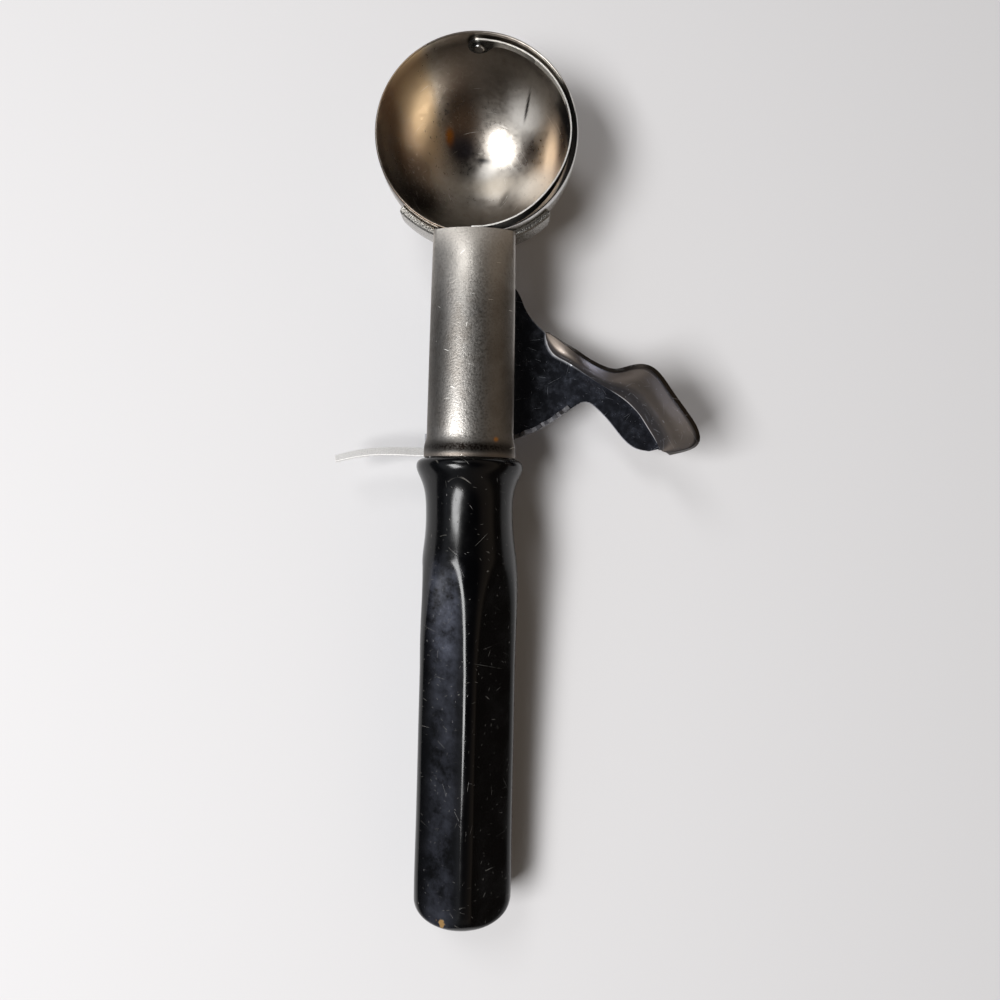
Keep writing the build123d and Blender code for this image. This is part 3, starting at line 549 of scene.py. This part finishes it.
# the painted shade fades over 3 mm downwards, 10 mm to the left and 8 mm towards the tip
shade_behind_blade = ease((z + SHADE_DEPTH + SHADE_DIP * ease(-y / 10)) / 3) * ease((x + 6) / 10) * ease((18 - y) / 8)
lay(bowl_paint, 0.99 * shade_behind_blade, "#060505", 1.0)
bowl_paint[outer_skin] = 0
# the lip is painted dark brown on the left, and a painted white highlight on the right
on_lip = outer_skin * (z > RIM_HEIGHT - LIP_DEPTH)
lay(bowl_paint, 0.85 * on_lip * ease((6 - x) / 14), "#4a3b2e")
lay(bowl_paint, 0.95 * on_lip * ease((x - 4) / 14), "#ffffff", 0.7)
piece("bowl_skin", bowl, BOWL_STEEL, "frame", ["bowl"], paint=bowl_paint)

# ---- scraper blade ------------------------------------------------------------------------------
BLADE_RADIUS = 27.2
BLADE_SHEET = 0.42
BLADE_EYE = 3.2
BLADE_WIDENS, WIDENS_OVER = 2.2, 35  # how much deeper the band is near the shaft, over which degrees
# how far the band has sprung off the wall, by degrees round from +X towards the bowl's tip
BLADE_SPRING = [
    (-97, 0.7), (-75, 1.2), (-55, 1.5), (-35, 1.5), (-15, 0.9), (5, 0.15), (30, -0.15), (60, -0.1),
    (97, 0.0),
]
# distance from the shaft's axis, lower and upper edge of the band
BLADE_EDGES = np.array([
    (0.0, -3.2, 3.2), (1.2, -2.97, 3.2), (2.2, -2.3, 3.15), (3.2, -1.1, 3.1), (4.2, 0.0, 3.1),
    (5.5, 0.55, 3.1), (7.5, 0.7, 3.1), (30.0, 0.7, 3.1),
])


def blade_shape():
    """A half ring on a sphere about the bowl's centre, between two heights, with round eyes.

    At a height h a band of radius r stands sqrt(r^2 - h^2) out, less what it has sprung off the wall.
    """
    reach = math.asin(BLADE_EYE / BLADE_RADIUS)
    end = math.pi / 2 + reach * 0.999  # a hair short of the eyes' far points
    swing = np.linspace(-end, end, 321)
    out = BLADE_RADIUS * np.cos(swing)
    low = np.interp(out, BLADE_EDGES[:, 0], BLADE_EDGES[:, 1])
    high = np.interp(out, BLADE_EDGES[:, 0], BLADE_EDGES[:, 2])
    low = low - BLADE_WIDENS * ease(-np.degrees(swing) / WIDENS_OVER) * ease((out - 1) / 6)
    eye = np.sqrt(np.clip(BLADE_EYE**2 - out**2, 1e-6, None))
    low = np.where(out < 0, -eye, low)
    high = np.where(out < 0, eye, high)
    share = np.linspace(0, 1, 9)
    height = low[:, None] * (1 - share) + high[:, None] * share
    skins = []
    slack = np.interp(np.degrees(swing), *curve(BLADE_SPRING, 200).T)[:, None]
    for radius in (BLADE_RADIUS, BLADE_RADIUS - BLADE_SHEET):
        ring = np.sqrt(radius**2 - height**2) - slack
        across, along = ring * np.cos(swing)[:, None], ring * np.sin(swing)[:, None]
        skins.append(np.stack([across, along, height], axis=-1))
    return sheet(*skins)


blade = blade_shape()
x, y, z = blade[0].T
blade_paint = np.zeros((len(x), 5))
inner_face = np.hypot(np.hypot(x, y), z) < BLADE_RADIUS - OUTER_SKIN
# under its bright upper edge the band is painted shade: grey inside, and black-brown round both eyes
lay(blade_paint, 0.85 * inner_face * (z < 2.9) * ease((x - 9) / 10), "#3a3632")
lay(blade_paint, 0.95 * (z < 3.0) * ease((6.5 - x) / 3), "#1d1916")
piece(
    "scraper_band", blade, BLADE_STEEL, "scraper", ["scraper_blade"], bevel=0.12,
    paint=blade_paint,
)

# ---- yoke ---------------------------------------------------------------------------------------
SADDLE_HALF_ANGLE = 45.0
# radius and height round the saddle's section
SADDLE_SECTION = np.array([
    (28.52, 2.1), (28.9, 2.5), (30.2, 2.5), (30.6, 2.1), (30.6, -2.0), (30.4, -4.4), (30.26, -5.6),
    (29.8, -6.0), (27.87, -6.0), (28.25, -3.9), (28.52, 0.0),
])
SADDLE_CORNER = 0.9
PIVOT_Y = -44.0
STEM_X, STEM_Y, STEM_Z = (-10.78, 10.78), (-52.0, -28.6), (-1.2, -4.4)
BARREL_RADIUS, BARREL_Y = 4.57, (-52.0, -35.0)
BOSS_RADIUS, BOSS_Z = 4.5, (-8.7, -4.4)


def saddle_shape():
    """The section carried round the bowl; near each end its outside draws in along a round.

    At a distance d under the corner's radius c from an end, it draws in by c - sqrt(c^2 - (c - d)^2).
    """
    far = math.radians(SADDLE_HALF_ANGLE)
    swing = far * np.sin(np.linspace(-math.pi / 2, math.pi / 2, 121))
    radius, height = SADDLE_SECTION.T
    left = (far - np.abs(swing)) * radius.max()
    into_corner = np.clip(SADDLE_CORNER - left, 0, None)
    drawn = SADDLE_CORNER - np.sqrt(np.clip(SADDLE_CORNER**2 - into_corner**2, 0, None))
    outside = (radius - radius.min()) / np.ptp(radius)
    radii = radius[None, :] - drawn[:, None] * outside[None, :]
    angle = -math.pi / 2 + swing[:, None]
    level = np.broadcast_to(height, radii.shape)
    return plug(np.stack([radii * np.cos(angle), radii * np.sin(angle), level], axis=-1))


def bar_shape(radius, ends, centre=None, segments=64):
    """A round bar r cos t, r sin t between two ends, along the shaft, or upright about a centre."""
    around = np.linspace(0, 2 * math.pi, segments, endpoint=False)
    ends = np.asarray(ends, float)[:, None]
    level = np.broadcast_to(ends, (2, segments))
    first, second = radius * np.cos(around) + 0 * ends, radius * np.sin(around) + 0 * ends
    if centre is None:
        return plug(np.stack([first, level, second], axis=-1))
    return plug(np.stack([centre[0] + first, centre[1] + second, level], axis=-1))


def block_shape(x_span, y_span, z_span):
    """A plate between flat limits."""
    x, y = np.meshgrid(x_span, y_span, indexing="ij")
    skins = [np.stack([x, y, np.full(x.shape, z)], axis=-1) for z in z_span]
    return sheet(*skins)


piece(
    "yoke_casting",
    joined(
        saddle_shape(),
        block_shape(STEM_X, STEM_Y, STEM_Z),
        bar_shape(BARREL_RADIUS, BARREL_Y),
        bar_shape(BOSS_RADIUS, BOSS_Z, (0.0, PIVOT_Y)),
    ),
    NICKEL_SILVER, "frame", ["bowl_yoke"], bevel=0.35, sharp=35,
)

# ---- shank cover --------------------------------------------------------------------------------
COVER_WALL = 0.8
COVER_FRONT = -27.3
COVER_REAR = -91.1
COVER_BOTTOM = -4.8
COVER_SHOULDER = 3.8
COVER_ROUND = 2.0
# the front edge keeps these radii from the bowl's centre below these heights
RIM_CLEAR, RIM_TOP = 28.8, 4.8
SADDLE_CLEAR, SADDLE_TOP = 30.9, 2.8
# station, half-width, crown height
COVER_STATIONS = np.array([
    (-27.3, 11.6, 6.6), (-29.5, 11.62, 7.3), (-33.0, 11.68, 8.2), (-37.0, 11.73, 8.85),
    (-41.5, 11.8, 9.25), (-46.0, 11.85, 9.4), (-60.0, 12.0, 9.42), (-74.0, 12.12, 9.42),
    (-80.0, 12.18, 9.38), (-83.5, 12.2, 9.22), (-85.6, 12.32, 9.15), (-87.2, 12.68, 9.4),
    (-88.6, 12.88, 9.85), (-89.8, 12.92, 10.1), (-91.1, 12.9, 10.12),
])


def cover_skin(inset):
    """Rows run front to rear. Each section is two straight walls, two rounds and one flat arc.

    Half-width h, crown c and round f give the arc's radius R = (h^2 + rise^2) / (2 rise). The rounds
    lie inside the arc and against the walls, so their centres are R - f from the arc's centre.
    """
    stations = curve(COVER_STATIONS, 500)
    rising, arch = np.linspace(0, 1, 9)[:-1], np.linspace(0, 1, 73)
    shares = [rising, rising, arch, rising[::-1], rising[::-1]]
    share = np.concatenate(shares)
    kind = np.repeat([0, 1, 2, 1, 0], [len(points) for points in shares])  # wall, round or arc
    side = np.where(np.arange(len(share)) < len(share) // 2, 1, -1)
    f = COVER_ROUND - inset

    def section(y):
        half = np.interp(-y, -stations[:, 0], stations[:, 1])
        crown = np.interp(-y, -stations[:, 0], stations[:, 2])
        rise = crown - COVER_SHOULDER
        radius = (half**2 + rise**2) / (2 * rise)
        middle, radius, half = crown - radius, radius - inset, half - inset
        level = middle + np.sqrt((radius - f) ** 2 - (half - f) ** 2)
        meet = np.arctan2(level - middle, half - f)
        turn, swing = meet * share, meet + (np.pi - 2 * meet) * share
        across = [side * half, side * (half - f + f * np.cos(turn)), radius * np.cos(swing)]
        bottom = COVER_BOTTOM + 0 * level
        wall_height = bottom + (level - bottom) * share
        height = [wall_height, level + f * np.sin(turn), middle + radius * np.sin(swing)]
        return np.choose(kind, across), np.choose(kind, height)

    x, z = section(np.full(len(share), COVER_FRONT))
    at_rim, at_saddle = -np.sqrt(RIM_CLEAR**2 - x**2), -np.sqrt(SADDLE_CLEAR**2 - x**2)
    low_front = np.where(z > SADDLE_TOP, np.minimum(at_rim, COVER_FRONT), at_saddle)
    front = np.where(z > RIM_TOP, COVER_FRONT, low_front)
    back = np.linspace(0, 1, 190)[:, None]
    y = front[None, :] * (1 - back) + COVER_REAR * back
    x, z = section(y)
    return np.stack([x, y, z], axis=-1)


# painted light and shade on the cover, given as the bowl's patches are: a painted highlight over the
# front end, darker flanks as a painted dark reflection, painted shade in a dark band in the flare, a
# painted highlight on the lip behind it, an orange painted glint and a painted highlight line along the
# right edge
COVER_PAINTED_LIGHT = [
    ((0.0, -33.0), (16.0, 13.0), 0, "#bdb8b1", 0.8, 0.08),
    ((-3.0, -27.0), (13.0, 6.0), 0, "#d6d0c8", 0.85, 0.3),
    ((-9.0, -66.0), (4.0, 22.0), 0, "#4b4845", 0.65, 0.1),
    ((8.2, -68.0), (4.0, 24.0), 0, "#6a655f", 0.5, 0.1),
    ((0.0, -88.5), (16.0, 1.9), 0, "#191411", 0.97, 0.1),
    ((0.0, -90.7), (16.0, 0.7), 0, "#7f766e", 0.9, 0.3),
    ((7.4, -86.1), (0.6, 0.6), 0, "#d99030", 0.8, 0.1),
    ((12.3, -57.0), (0.6, 34.0), 0, "#d8d4ce", 0.8, 0.5),
]
hood = sheet(cover_skin(0.0), cover_skin(COVER_WALL))
piece(
    "shank_hood", hood, COVER_STEEL, "frame", ["shank_cover"], bevel=0.15,
    paint=stains_and_painted_light(hood[0], COVER_PAINTED_LIGHT),
)

# ---- handle -------------------------------------------------------------------------------------
HANDLE_FRONT = -91.45
HANDLE_END = -220.45
HANDLE_FACE = 13.2  # radius of its flat front face
# station along the shaft, radius of the round blank
HANDLE_BLANK = [
    (-91.5, 13.6), (-92.2, 14.7), (-93.5, 15.15), (-95.2, 14.8), (-97.1, 13.95), (-100.0, 12.95),
    (-103.0, 12.5), (-106.5, 12.4), (-111.5, 12.55), (-115.5, 12.95), (-120.0, 13.5), (-126.0, 13.95),
    (-140.0, 14.0), (-170.0, 14.05), (-200.0, 14.15), (-212.0, 14.2), (-215.0, 14.1),
]
HANDLE_BUTT = [(-215.0, 14.1), (-217.4, 13.4), (-219.2, 11.9), (-220.2, 9.9), (-220.45, 8.3)]
# station, distance of the five flats from the axis
FACET_DEPTHS = np.array([
    (-91.0, 17.0), (-112.0, 15.0), (-118.0, 14.0), (-122.0, 13.4), (-130.0, 12.85), (-140.0, 12.35),
    (-150.0, 12.05), (-180.0, 12.1), (-212.0, 12.3), (-221.0, 12.4),
])
FACET_ROUND = 3.0
FACET_BLEND = 3.5
HALF_FACET = math.pi / 5
# the flats on the left turn towards the ridge where they run out
RUN_OUT = (-121.0, -146.0, math.radians(17))
RIDGE_TURN = math.radians(5.5)
HANDLE_BOW = 0.5  # the grip stands a little to the lever's side
REFLECTION_BEARING, REFLECTION_SPREAD = 118, 20  # where round the grip the left flats get a painted bluish reflection of the room, in degrees
LEAN = math.atan2(ALONG[2], ALONG[1])


def handle_shape(segments=256):
    """A turned blank cut to a pentagon with rounded ridges: the radius is the soft minimum of both.

    The pentagon at angle t from its nearest ridge is depth / cos(36 deg - t) on a flat, and on the
    ridge's round of radius r, whose centre is d = (depth - r) / cos(36 deg) out, it is
    d cos t + sqrt(r^2 - d^2 sin^2 t). The soft minimum of a and b is -log(e^-ka + e^-kb) / k.
    """
    front, butt = [(HANDLE_FRONT, 0.0), (HANDLE_FRONT, HANDLE_FACE)], curve(HANDLE_BUTT, 28)[1:]
    blank_line = np.concatenate([front, curve(HANDLE_BLANK, 320), butt, [(HANDLE_END, 0.0)]])
    y, blank = blank_line[:, :1], blank_line[:, 1:]
    around = np.linspace(0, 2 * math.pi, segments, endpoint=False)
    depth = np.interp(-y, -FACET_DEPTHS[:, 0], FACET_DEPTHS[:, 1])
    start, end, twist = RUN_OUT
    twist = twist * (1 - ease((start - y) / (start - end))) * np.clip(-np.cos(around), 0, 1)
    turned = around + RIDGE_TURN + twist
    past = np.abs((turned - math.pi / 2 + HALF_FACET) % (2 * HALF_FACET) - HALF_FACET)
    out = (depth - FACET_ROUND) / math.cos(HALF_FACET)
    ridge_end = np.arctan2(FACET_ROUND * math.sin(HALF_FACET), out + FACET_ROUND * math.cos(HALF_FACET))
    ridge = out * np.cos(past) + np.sqrt(np.clip(FACET_ROUND**2 - (out * np.sin(past)) ** 2, 0, None))
    cut = np.where(past < ridge_end, ridge, depth / np.cos(HALF_FACET - past))
    soft = -np.log(np.exp(-FACET_BLEND * blank) + np.exp(-FACET_BLEND * cut)) / FACET_BLEND
    radius = np.clip(np.minimum(soft, blank), 0, None)
    x = radius * np.cos(around) + HANDLE_BOW * ease((-93 - y) / 30)
    z = radius * np.sin(around)
    # nothing reaches below the table that the bowl and the butt rest on
    table = -(BOWL_RADIUS + y * math.sin(LEAN)) / math.cos(LEAN)
    grid = np.stack([x, np.broadcast_to(y, x.shape), np.maximum(z, table)], axis=-1)
    # the painted reflection is strongest behind the neck and thins out over the next 30 mm
    facing = np.exp(-(((np.degrees(around) - REFLECTION_BEARING) / REFLECTION_SPREAD) ** 4))
    haze = facing * ease((-116 - y) / 12) * (1 - 0.72 * ease((-128 - y) / 30))
    return (grid.reshape(-1, 3), quads(len(y), segments, wrap_columns=True)), haze.ravel()


handle, haze = handle_shape()
handle_paint = np.zeros((len(haze), 5))
# haze is the share of that painted bluish reflection, laid on the grip's left flats a little duller
lay(handle_paint, haze, "#50535f", 0.3)
piece(
    "turned_handle", handle, LACQUER, "frame", ["handle_grip"],
    paint=handle_paint,
)

# ---- thumb lever --------------------------------------------------------------------------------
PLATE_TOP = -9.5
PLATE_THICKNESS = 1.2
PLATE_MIDDLE = PLATE_TOP - PLATE_THICKNESS / 2
HUB_RADIUS = 9.5
RACK_RADIUS = 42.5
RACK_TIP = -5.6
RACK_ROOT = -8.6
TEETH = 7
TOOTH_ANGLE = 7.5
TOOTH_HALF = 1.15  # half a tooth's width on the pitch line, which is a sixth of the radius down
TOOTH_SLOPE = math.tan(math.radians(28))
RACK_START = -1.75 * TOOTH_ANGLE
RACK_END = 5.75 * TOOTH_ANGLE
EAR_X, EAR_Y = (-14.0, -7.2), (-90.3, -83.5)  # the plate's ear that carries the tail
# bend of the plate, and the pad's free edge with its height, point for point
CREASE = [
    (21.6, -52.6), (21.7, -55.0), (23.6, -58.6), (27.3, -60.8), (31.4, -63.0), (35.5, -65.5),
    (39.5, -68.1), (42.9, -70.2), (45.9, -72.3), (48.2, -74.3), (50.2, -76.5), (52.0, -79.2),
    (53.7, -81.8), (55.1, -84.0), (56.4, -86.4),
]
CREST = [
    (22.4, -52.7, -9.6), (24.0, -53.7, -8.6), (27.7, -56.6, -6.5), (30.2, -58.6, -5.2),
    (33.0, -61.1, -3.3), (36.7, -64.0, 0.2), (40.8, -65.7, 3.5), (45.0, -65.1, 7.0),
    (50.0, -66.2, 9.0), (54.4, -71.8, 9.9), (57.8, -76.6, 10.3), (60.8, -80.7, 10.2),
    (62.6, -84.2, 9.2), (61.9, -87.1, 6.0), (57.6, -88.3, -4.0),
]
UPPER_EDGE = [(0.0, -34.5), (6.0, -36.4), (12.6, -40.2), (15.0, -45.2), (18.1, -49.6), (21.6, -52.6)]
LOWER_EDGE = [
    (31.8, -73.2), (34.5, -72.9), (37.2, -74.6), (41.1, -78.5), (45.2, -83.4), (49.2, -86.4),
    (53.2, -87.2),
]
# how far out and how far up the sheet is, from the bend to the free edge
PAD_SECTION = [
    (0.0, 0.0), (0.1, 0.015), (0.2, 0.1), (0.27, 0.3), (0.34, 0.45), (0.44, 0.53), (0.62, 0.64),
    (0.82, 0.81), (1.0, 1.0),
]


def rack_point(radius, angle):
    """Plan position at a radius from the pivot; the angle is from the handle towards +X."""
    swing = np.radians(angle)
    return np.stack([radius * np.sin(swing), PIVOT_Y - radius * np.cos(swing)], axis=-1)


def lever_shape():
    """One bent sheet: straight lines from the rack side to the bend, then the turned-up thumb pad.

    On a row whose bend is at b and whose free edge is at e, the pad runs (1 - out) b + out e in plan
    and rises by lift (e - b), with out and lift from the pad's section. Half the sheet's thickness is
    laid off along the normal on both sides.
    """
    hub = np.linspace(math.pi / 2, 1.06 * math.pi, 30)
    hub_side = np.stack([HUB_RADIUS * np.cos(hub), PIVOT_Y + HUB_RADIUS * np.sin(hub)], axis=1)
    arc = rack_point(RACK_RADIUS, np.linspace(RACK_START, RACK_END, 61))
    far_side = np.concatenate([
        hub_side, np.linspace(hub_side[-1], arc[0], 20)[1:], arc[1:],
        np.linspace(arc[-1], LOWER_EDGE[0], 6)[1:], curve(LOWER_EDGE, 95)[1:],
    ])
    crease = curve(CREASE, 176, even=True)
    crest = curve(CREST, len(crease), even=True)
    upper_edge = curve(UPPER_EDGE, len(far_side) - len(crease) + 1)
    near_side = np.concatenate([upper_edge, crease[1:]])
    lead = len(near_side) - len(crease)
    edge = np.concatenate([near_side[:lead], crest[:, :2]])
    edge_z = np.concatenate([np.full(lead, PLATE_MIDDLE), crest[:, 2]])
    flat = np.append(np.linspace(0, 0.975, 13), 1.0)[None, :, None]
    plan = far_side[:, None, :] * (1 - flat) + near_side[:, None, :] * flat
    plate = np.concatenate([plan, np.full(plan.shape[:2] + (1,), PLATE_MIDDLE)], axis=-1)
    section = curve(PAD_SECTION, 46)[1:]
    out, lift = section[:, 0][None, :, None], section[:, 1][None, :]
    pad_plan = near_side[:, None, :] * (1 - out) + edge[:, None, :] * out
    pad_z = PLATE_MIDDLE + (edge_z[:, None] - PLATE_MIDDLE) * lift
    pad = np.concatenate([pad_plan, pad_z[..., None]], axis=-1)
    skin = np.concatenate([plate, pad], axis=1)
    normal = np.cross(np.gradient(skin, axis=0), np.gradient(skin, axis=1))
    size = np.linalg.norm(normal, axis=-1, keepdims=True)
    normal = np.where(size > 1e-4, normal / np.maximum(size, 1e-9), np.array([0.0, 0.0, 1.0]))
    normal = normal * np.sign(normal[..., 2:3] + 1e-9) * PLATE_THICKNESS / 2
    shape = sheet(skin + normal, skin - normal)
    across = np.concatenate([np.linspace(-1.0, -0.005, plan.shape[1]), section[:, 0]])[None, :]
    # the bend's paint comes in over six rows, just before the bend starts
    bent = ease((np.arange(len(skin))[:, None] - lead + 8) / 6)
    paint = np.zeros((skin.shape[0] * skin.shape[1], 5))
    lit_in_open = np.broadcast_to(ease((skin[..., 0] - 17) / 12), skin.shape[:2])
    # laid over one another: painted light on the sheet out in the open, away from the cover's shade,
    # the pad painted brownish as a reflection of the warm room, painted shade in the gully beside the
    # bend, a painted highlight along the bend and a painted dark reflection on the free edge
    bands = (
        (0.8 * lit_in_open, "#7d8394", 0.14),
        (0.97 * bent * ease((across - 0.01) / 0.03), "#82786f", 0.5),
        (0.95 * bent * ease((across - 0.02) / 0.04) * ease((0.46 - across) / 0.2), "#2c2a2b", 1.0),
        (0.95 * bent * np.exp(-((across / 0.008) ** 2)), "#ffffff", 0.7),
        (0.9 * bent * ease((across - 0.93) / 0.05), "#2b2622", 0.3),
    )
    for share, colour, dull in bands:
        lay(paint, np.broadcast_to(share, skin.shape[:2]).ravel(), colour, dull)
    return shape, np.concatenate([paint, paint])


def rack_shape():
    """The bent-up crown of teeth: a curved wall whose top follows a row of flat-topped teeth."""
    inner = RACK_RADIUS - PLATE_THICKNESS
    mean = (RACK_RADIUS + inner) / 2
    tip_half, root_half = [
        math.degrees((TOOTH_HALF - (height + mean / 6) * TOOTH_SLOPE) / mean)
        for height in (RACK_TIP, RACK_ROOT)
    ]
    middles = TOOTH_ANGLE * np.arange(-1, TEETH - 1)[:, None]
    flanks = (middles + [-root_half, -tip_half, tip_half, root_half]).ravel()
    angles = np.concatenate([[RACK_START], flanks, [RACK_END]])
    profile = np.tile([RACK_ROOT, RACK_TIP, RACK_TIP, RACK_ROOT], TEETH)
    heights = np.concatenate([[RACK_ROOT], profile, [RACK_ROOT]])
    fine = np.unique(np.concatenate([angles, np.linspace(RACK_START, RACK_END, 90)]))
    tops = np.interp(fine, angles, heights)
    skins = []
    for radius in (RACK_RADIUS, inner):
        plan = rack_point(radius, fine)
        low = np.column_stack([plan, np.full(len(fine), PLATE_TOP - PLATE_THICKNESS)])
        skins.append(np.stack([low, np.column_stack([plan, tops])], axis=1))
    return sheet(*skins)


lever, lever_paint = lever_shape()
ear = block_shape(EAR_X, EAR_Y, (PLATE_TOP, PLATE_TOP - PLATE_THICKNESS))
piece(
    "bent_lever", lever, LEVER_STEEL, "lever", ["thumb_lever"],
    bevel=0.25, sharp=50, paint=lever_paint,
)
piece(
    "rack_crown", joined(rack_shape(), ear), RACK_STEEL, "lever", bevel=0.18,
    sharp=30,
)

# ---- rack tail ----------------------------------------------------------------------------------
TAIL_ROUTE = [
    (-8.5, -88.9), (-13.5, -89.15), (-20.2, -89.1), (-27.1, -89.25), (-33.0, -89.95), (-36.9, -90.8),
    (-40.2, -91.7),
]
TAIL_MIDDLE = -7.55
TAIL_SHEET = 0.55
TAIL_LEAN = math.radians(45)
TAIL_HALF_WIDTH, TAIL_NARROWING = 1.9, 0.5
FOOT_Y = (-89.2, -86.1)
FOOT_GAP = 0.02  # between the ribbon's foot and the ear under it


def tail_shape():
    """A ribbon along its route, leaning back; it narrows a little towards the free end.

    At a share e of its half-width w, with the lean a, it is e w cos a behind the route and e w sin a
    under it.
    """
    route = curve(TAIL_ROUTE, 90)
    way = np.gradient(route, axis=0)
    way /= np.linalg.norm(way, axis=1, keepdims=True)
    side = np.column_stack([way[:, 1], -way[:, 0]])
    half = TAIL_HALF_WIDTH - TAIL_NARROWING * np.linspace(0, 1, len(route))
    skins = []
    for offset in (TAIL_SHEET / 2, -TAIL_SHEET / 2):
        edge = np.linspace(-1, 1, 7)
        back = edge * half[:, None] * np.cos(TAIL_LEAN) + offset * np.sin(TAIL_LEAN)
        height = TAIL_MIDDLE - edge * half[:, None] * np.sin(TAIL_LEAN) + offset * np.cos(TAIL_LEAN)
        plan = route[:, None, :] + side[:, None, :] * back[..., None]
        skins.append(np.concatenate([plan, height[..., None]], axis=-1))
    return sheet(*skins)


foot = block_shape(EAR_X, FOOT_Y, (PLATE_TOP + TAIL_SHEET, PLATE_TOP + FOOT_GAP))
piece(
    "tail_ribbon", joined(tail_shape(), foot), SPRING_STEEL, "lever", ["rack_tail"],
    bevel=0.1,
)

# ---- room ---------------------------------------------------------------------------------------
FLOOR_SIZE = 3.0
CAMERA_PLACE = (8.86, -102.8, 206.5)  # in the tool's frame, in mm
CAMERA_ROLL = 0.02251  # sine of its turn
CAMERA_LENS, CAMERA_SENSOR = 26.0, 36.0
# the walls' colour from -X to +X, and how light the room is from the horizon, 0, to straight up, 1
WALLS = [(0.0, "#c4c9d2"), (0.3, "#a6a8ac"), (0.5, "#8a8784"), (0.72, "#9f9285"), (1.0, "#b09e89")]
LIGHTNESS = [(0.0, 0.12), (0.32, 0.16), (0.5, 0.9), (0.78, 0.6), (0.93, 0.03)]


def floor():
    """A plain pale floor, a square of the given size in metres."""
    mesh = bpy.data.meshes.new("floor")
    half = FLOOR_SIZE / 2
    corners = [(-half, -half, 0), (half, -half, 0), (half, half, 0), (-half, half, 0)]
    mesh.from_pydata(corners, [], [(0, 1, 2, 3)])
    made = bpy.data.objects.new("floor", mesh)
    bpy.context.scene.collection.objects.link(made)
    material, _, surface, _ = started("pale_floor", metallic=0.0)
    surface.inputs["Base Color"].default_value = linear("#d6d5d6")
    surface.inputs["Roughness"].default_value = 0.9
    mesh.materials.append(material)


def window(name, direction, distance, length, width, watts):
    """A soft white rectangular lamp that looks at the middle of the tool from so many metres."""
    data = bpy.data.lights.new(name, "AREA")
    data.shape = "RECTANGLE"
    data.size = length
    data.size_y = width
    data.energy = watts
    made = bpy.data.objects.new(name, data)
    unit = Vector(direction).normalized()
    made.location = unit * distance
    made.rotation_euler = unit.to_track_quat("Z", "Y").to_euler()
    bpy.context.scene.collection.objects.link(made)


def room():
    """A soft room: cool on the window's side, warm on the other, dim low down and overhead."""
    made = bpy.data.worlds.new("studio")
    bpy.context.scene.world = made
    made.use_nodes = True
    tree = made.node_tree
    tree.nodes.clear()
    direction = add(tree, "TexCoord").outputs["Generated"]
    way = add(tree, "SeparateXYZ", {0: direction})
    side = add(tree, "MapRange", {"Value": way.outputs["X"], "From Min": -1.0, "From Max": 1.0})
    walls = add(tree, "ValToRGB", {"Fac": side.outputs[0]}, stops=WALLS)
    dim = add(tree, "ValToRGB", {"Fac": way.outputs["Z"]}, stops=LIGHTNESS)
    sky = add(
        tree, "Mix", {"Factor": 1.0, "A": walls.outputs[0], "B": dim.outputs[0]}, **MULTIPLIED
    )
    light = add(tree, "Background", {"Color": sky.outputs["Result"], "Strength": 1.0})
    add(tree, "OutputWorld", {"Surface": light.outputs[0]})


def camera():
    """Square on the tool's own plane, a little turned, as wide as a phone's main lens."""
    data = bpy.data.cameras.new("camera")
    data.lens = CAMERA_LENS
    data.sensor_width = CAMERA_SENSOR
    data.clip_start = 0.01
    made = bpy.data.objects.new("camera", data)
    turn = math.asin(CAMERA_ROLL)
    right = math.cos(turn) * ACROSS + math.sin(turn) * ALONG
    above = math.cos(turn) * ALONG - math.sin(turn) * ACROSS
    facing = Matrix([right, above, UP]).transposed()
    made.location = laid(CAMERA_PLACE)
    made.rotation_euler = facing.to_euler()
    bpy.context.scene.collection.objects.link(made)
    bpy.context.scene.camera = made


floor()
room()
camera()
window("key", (-0.49, -0.24, 0.84), 1.15, 0.6, 0.36, 14.0)
window("far_window", (-0.32, 0.52, 0.78), 1.3, 0.35, 0.5, 3.2)
bpy.context.scene.view_settings.view_transform = "Standard"
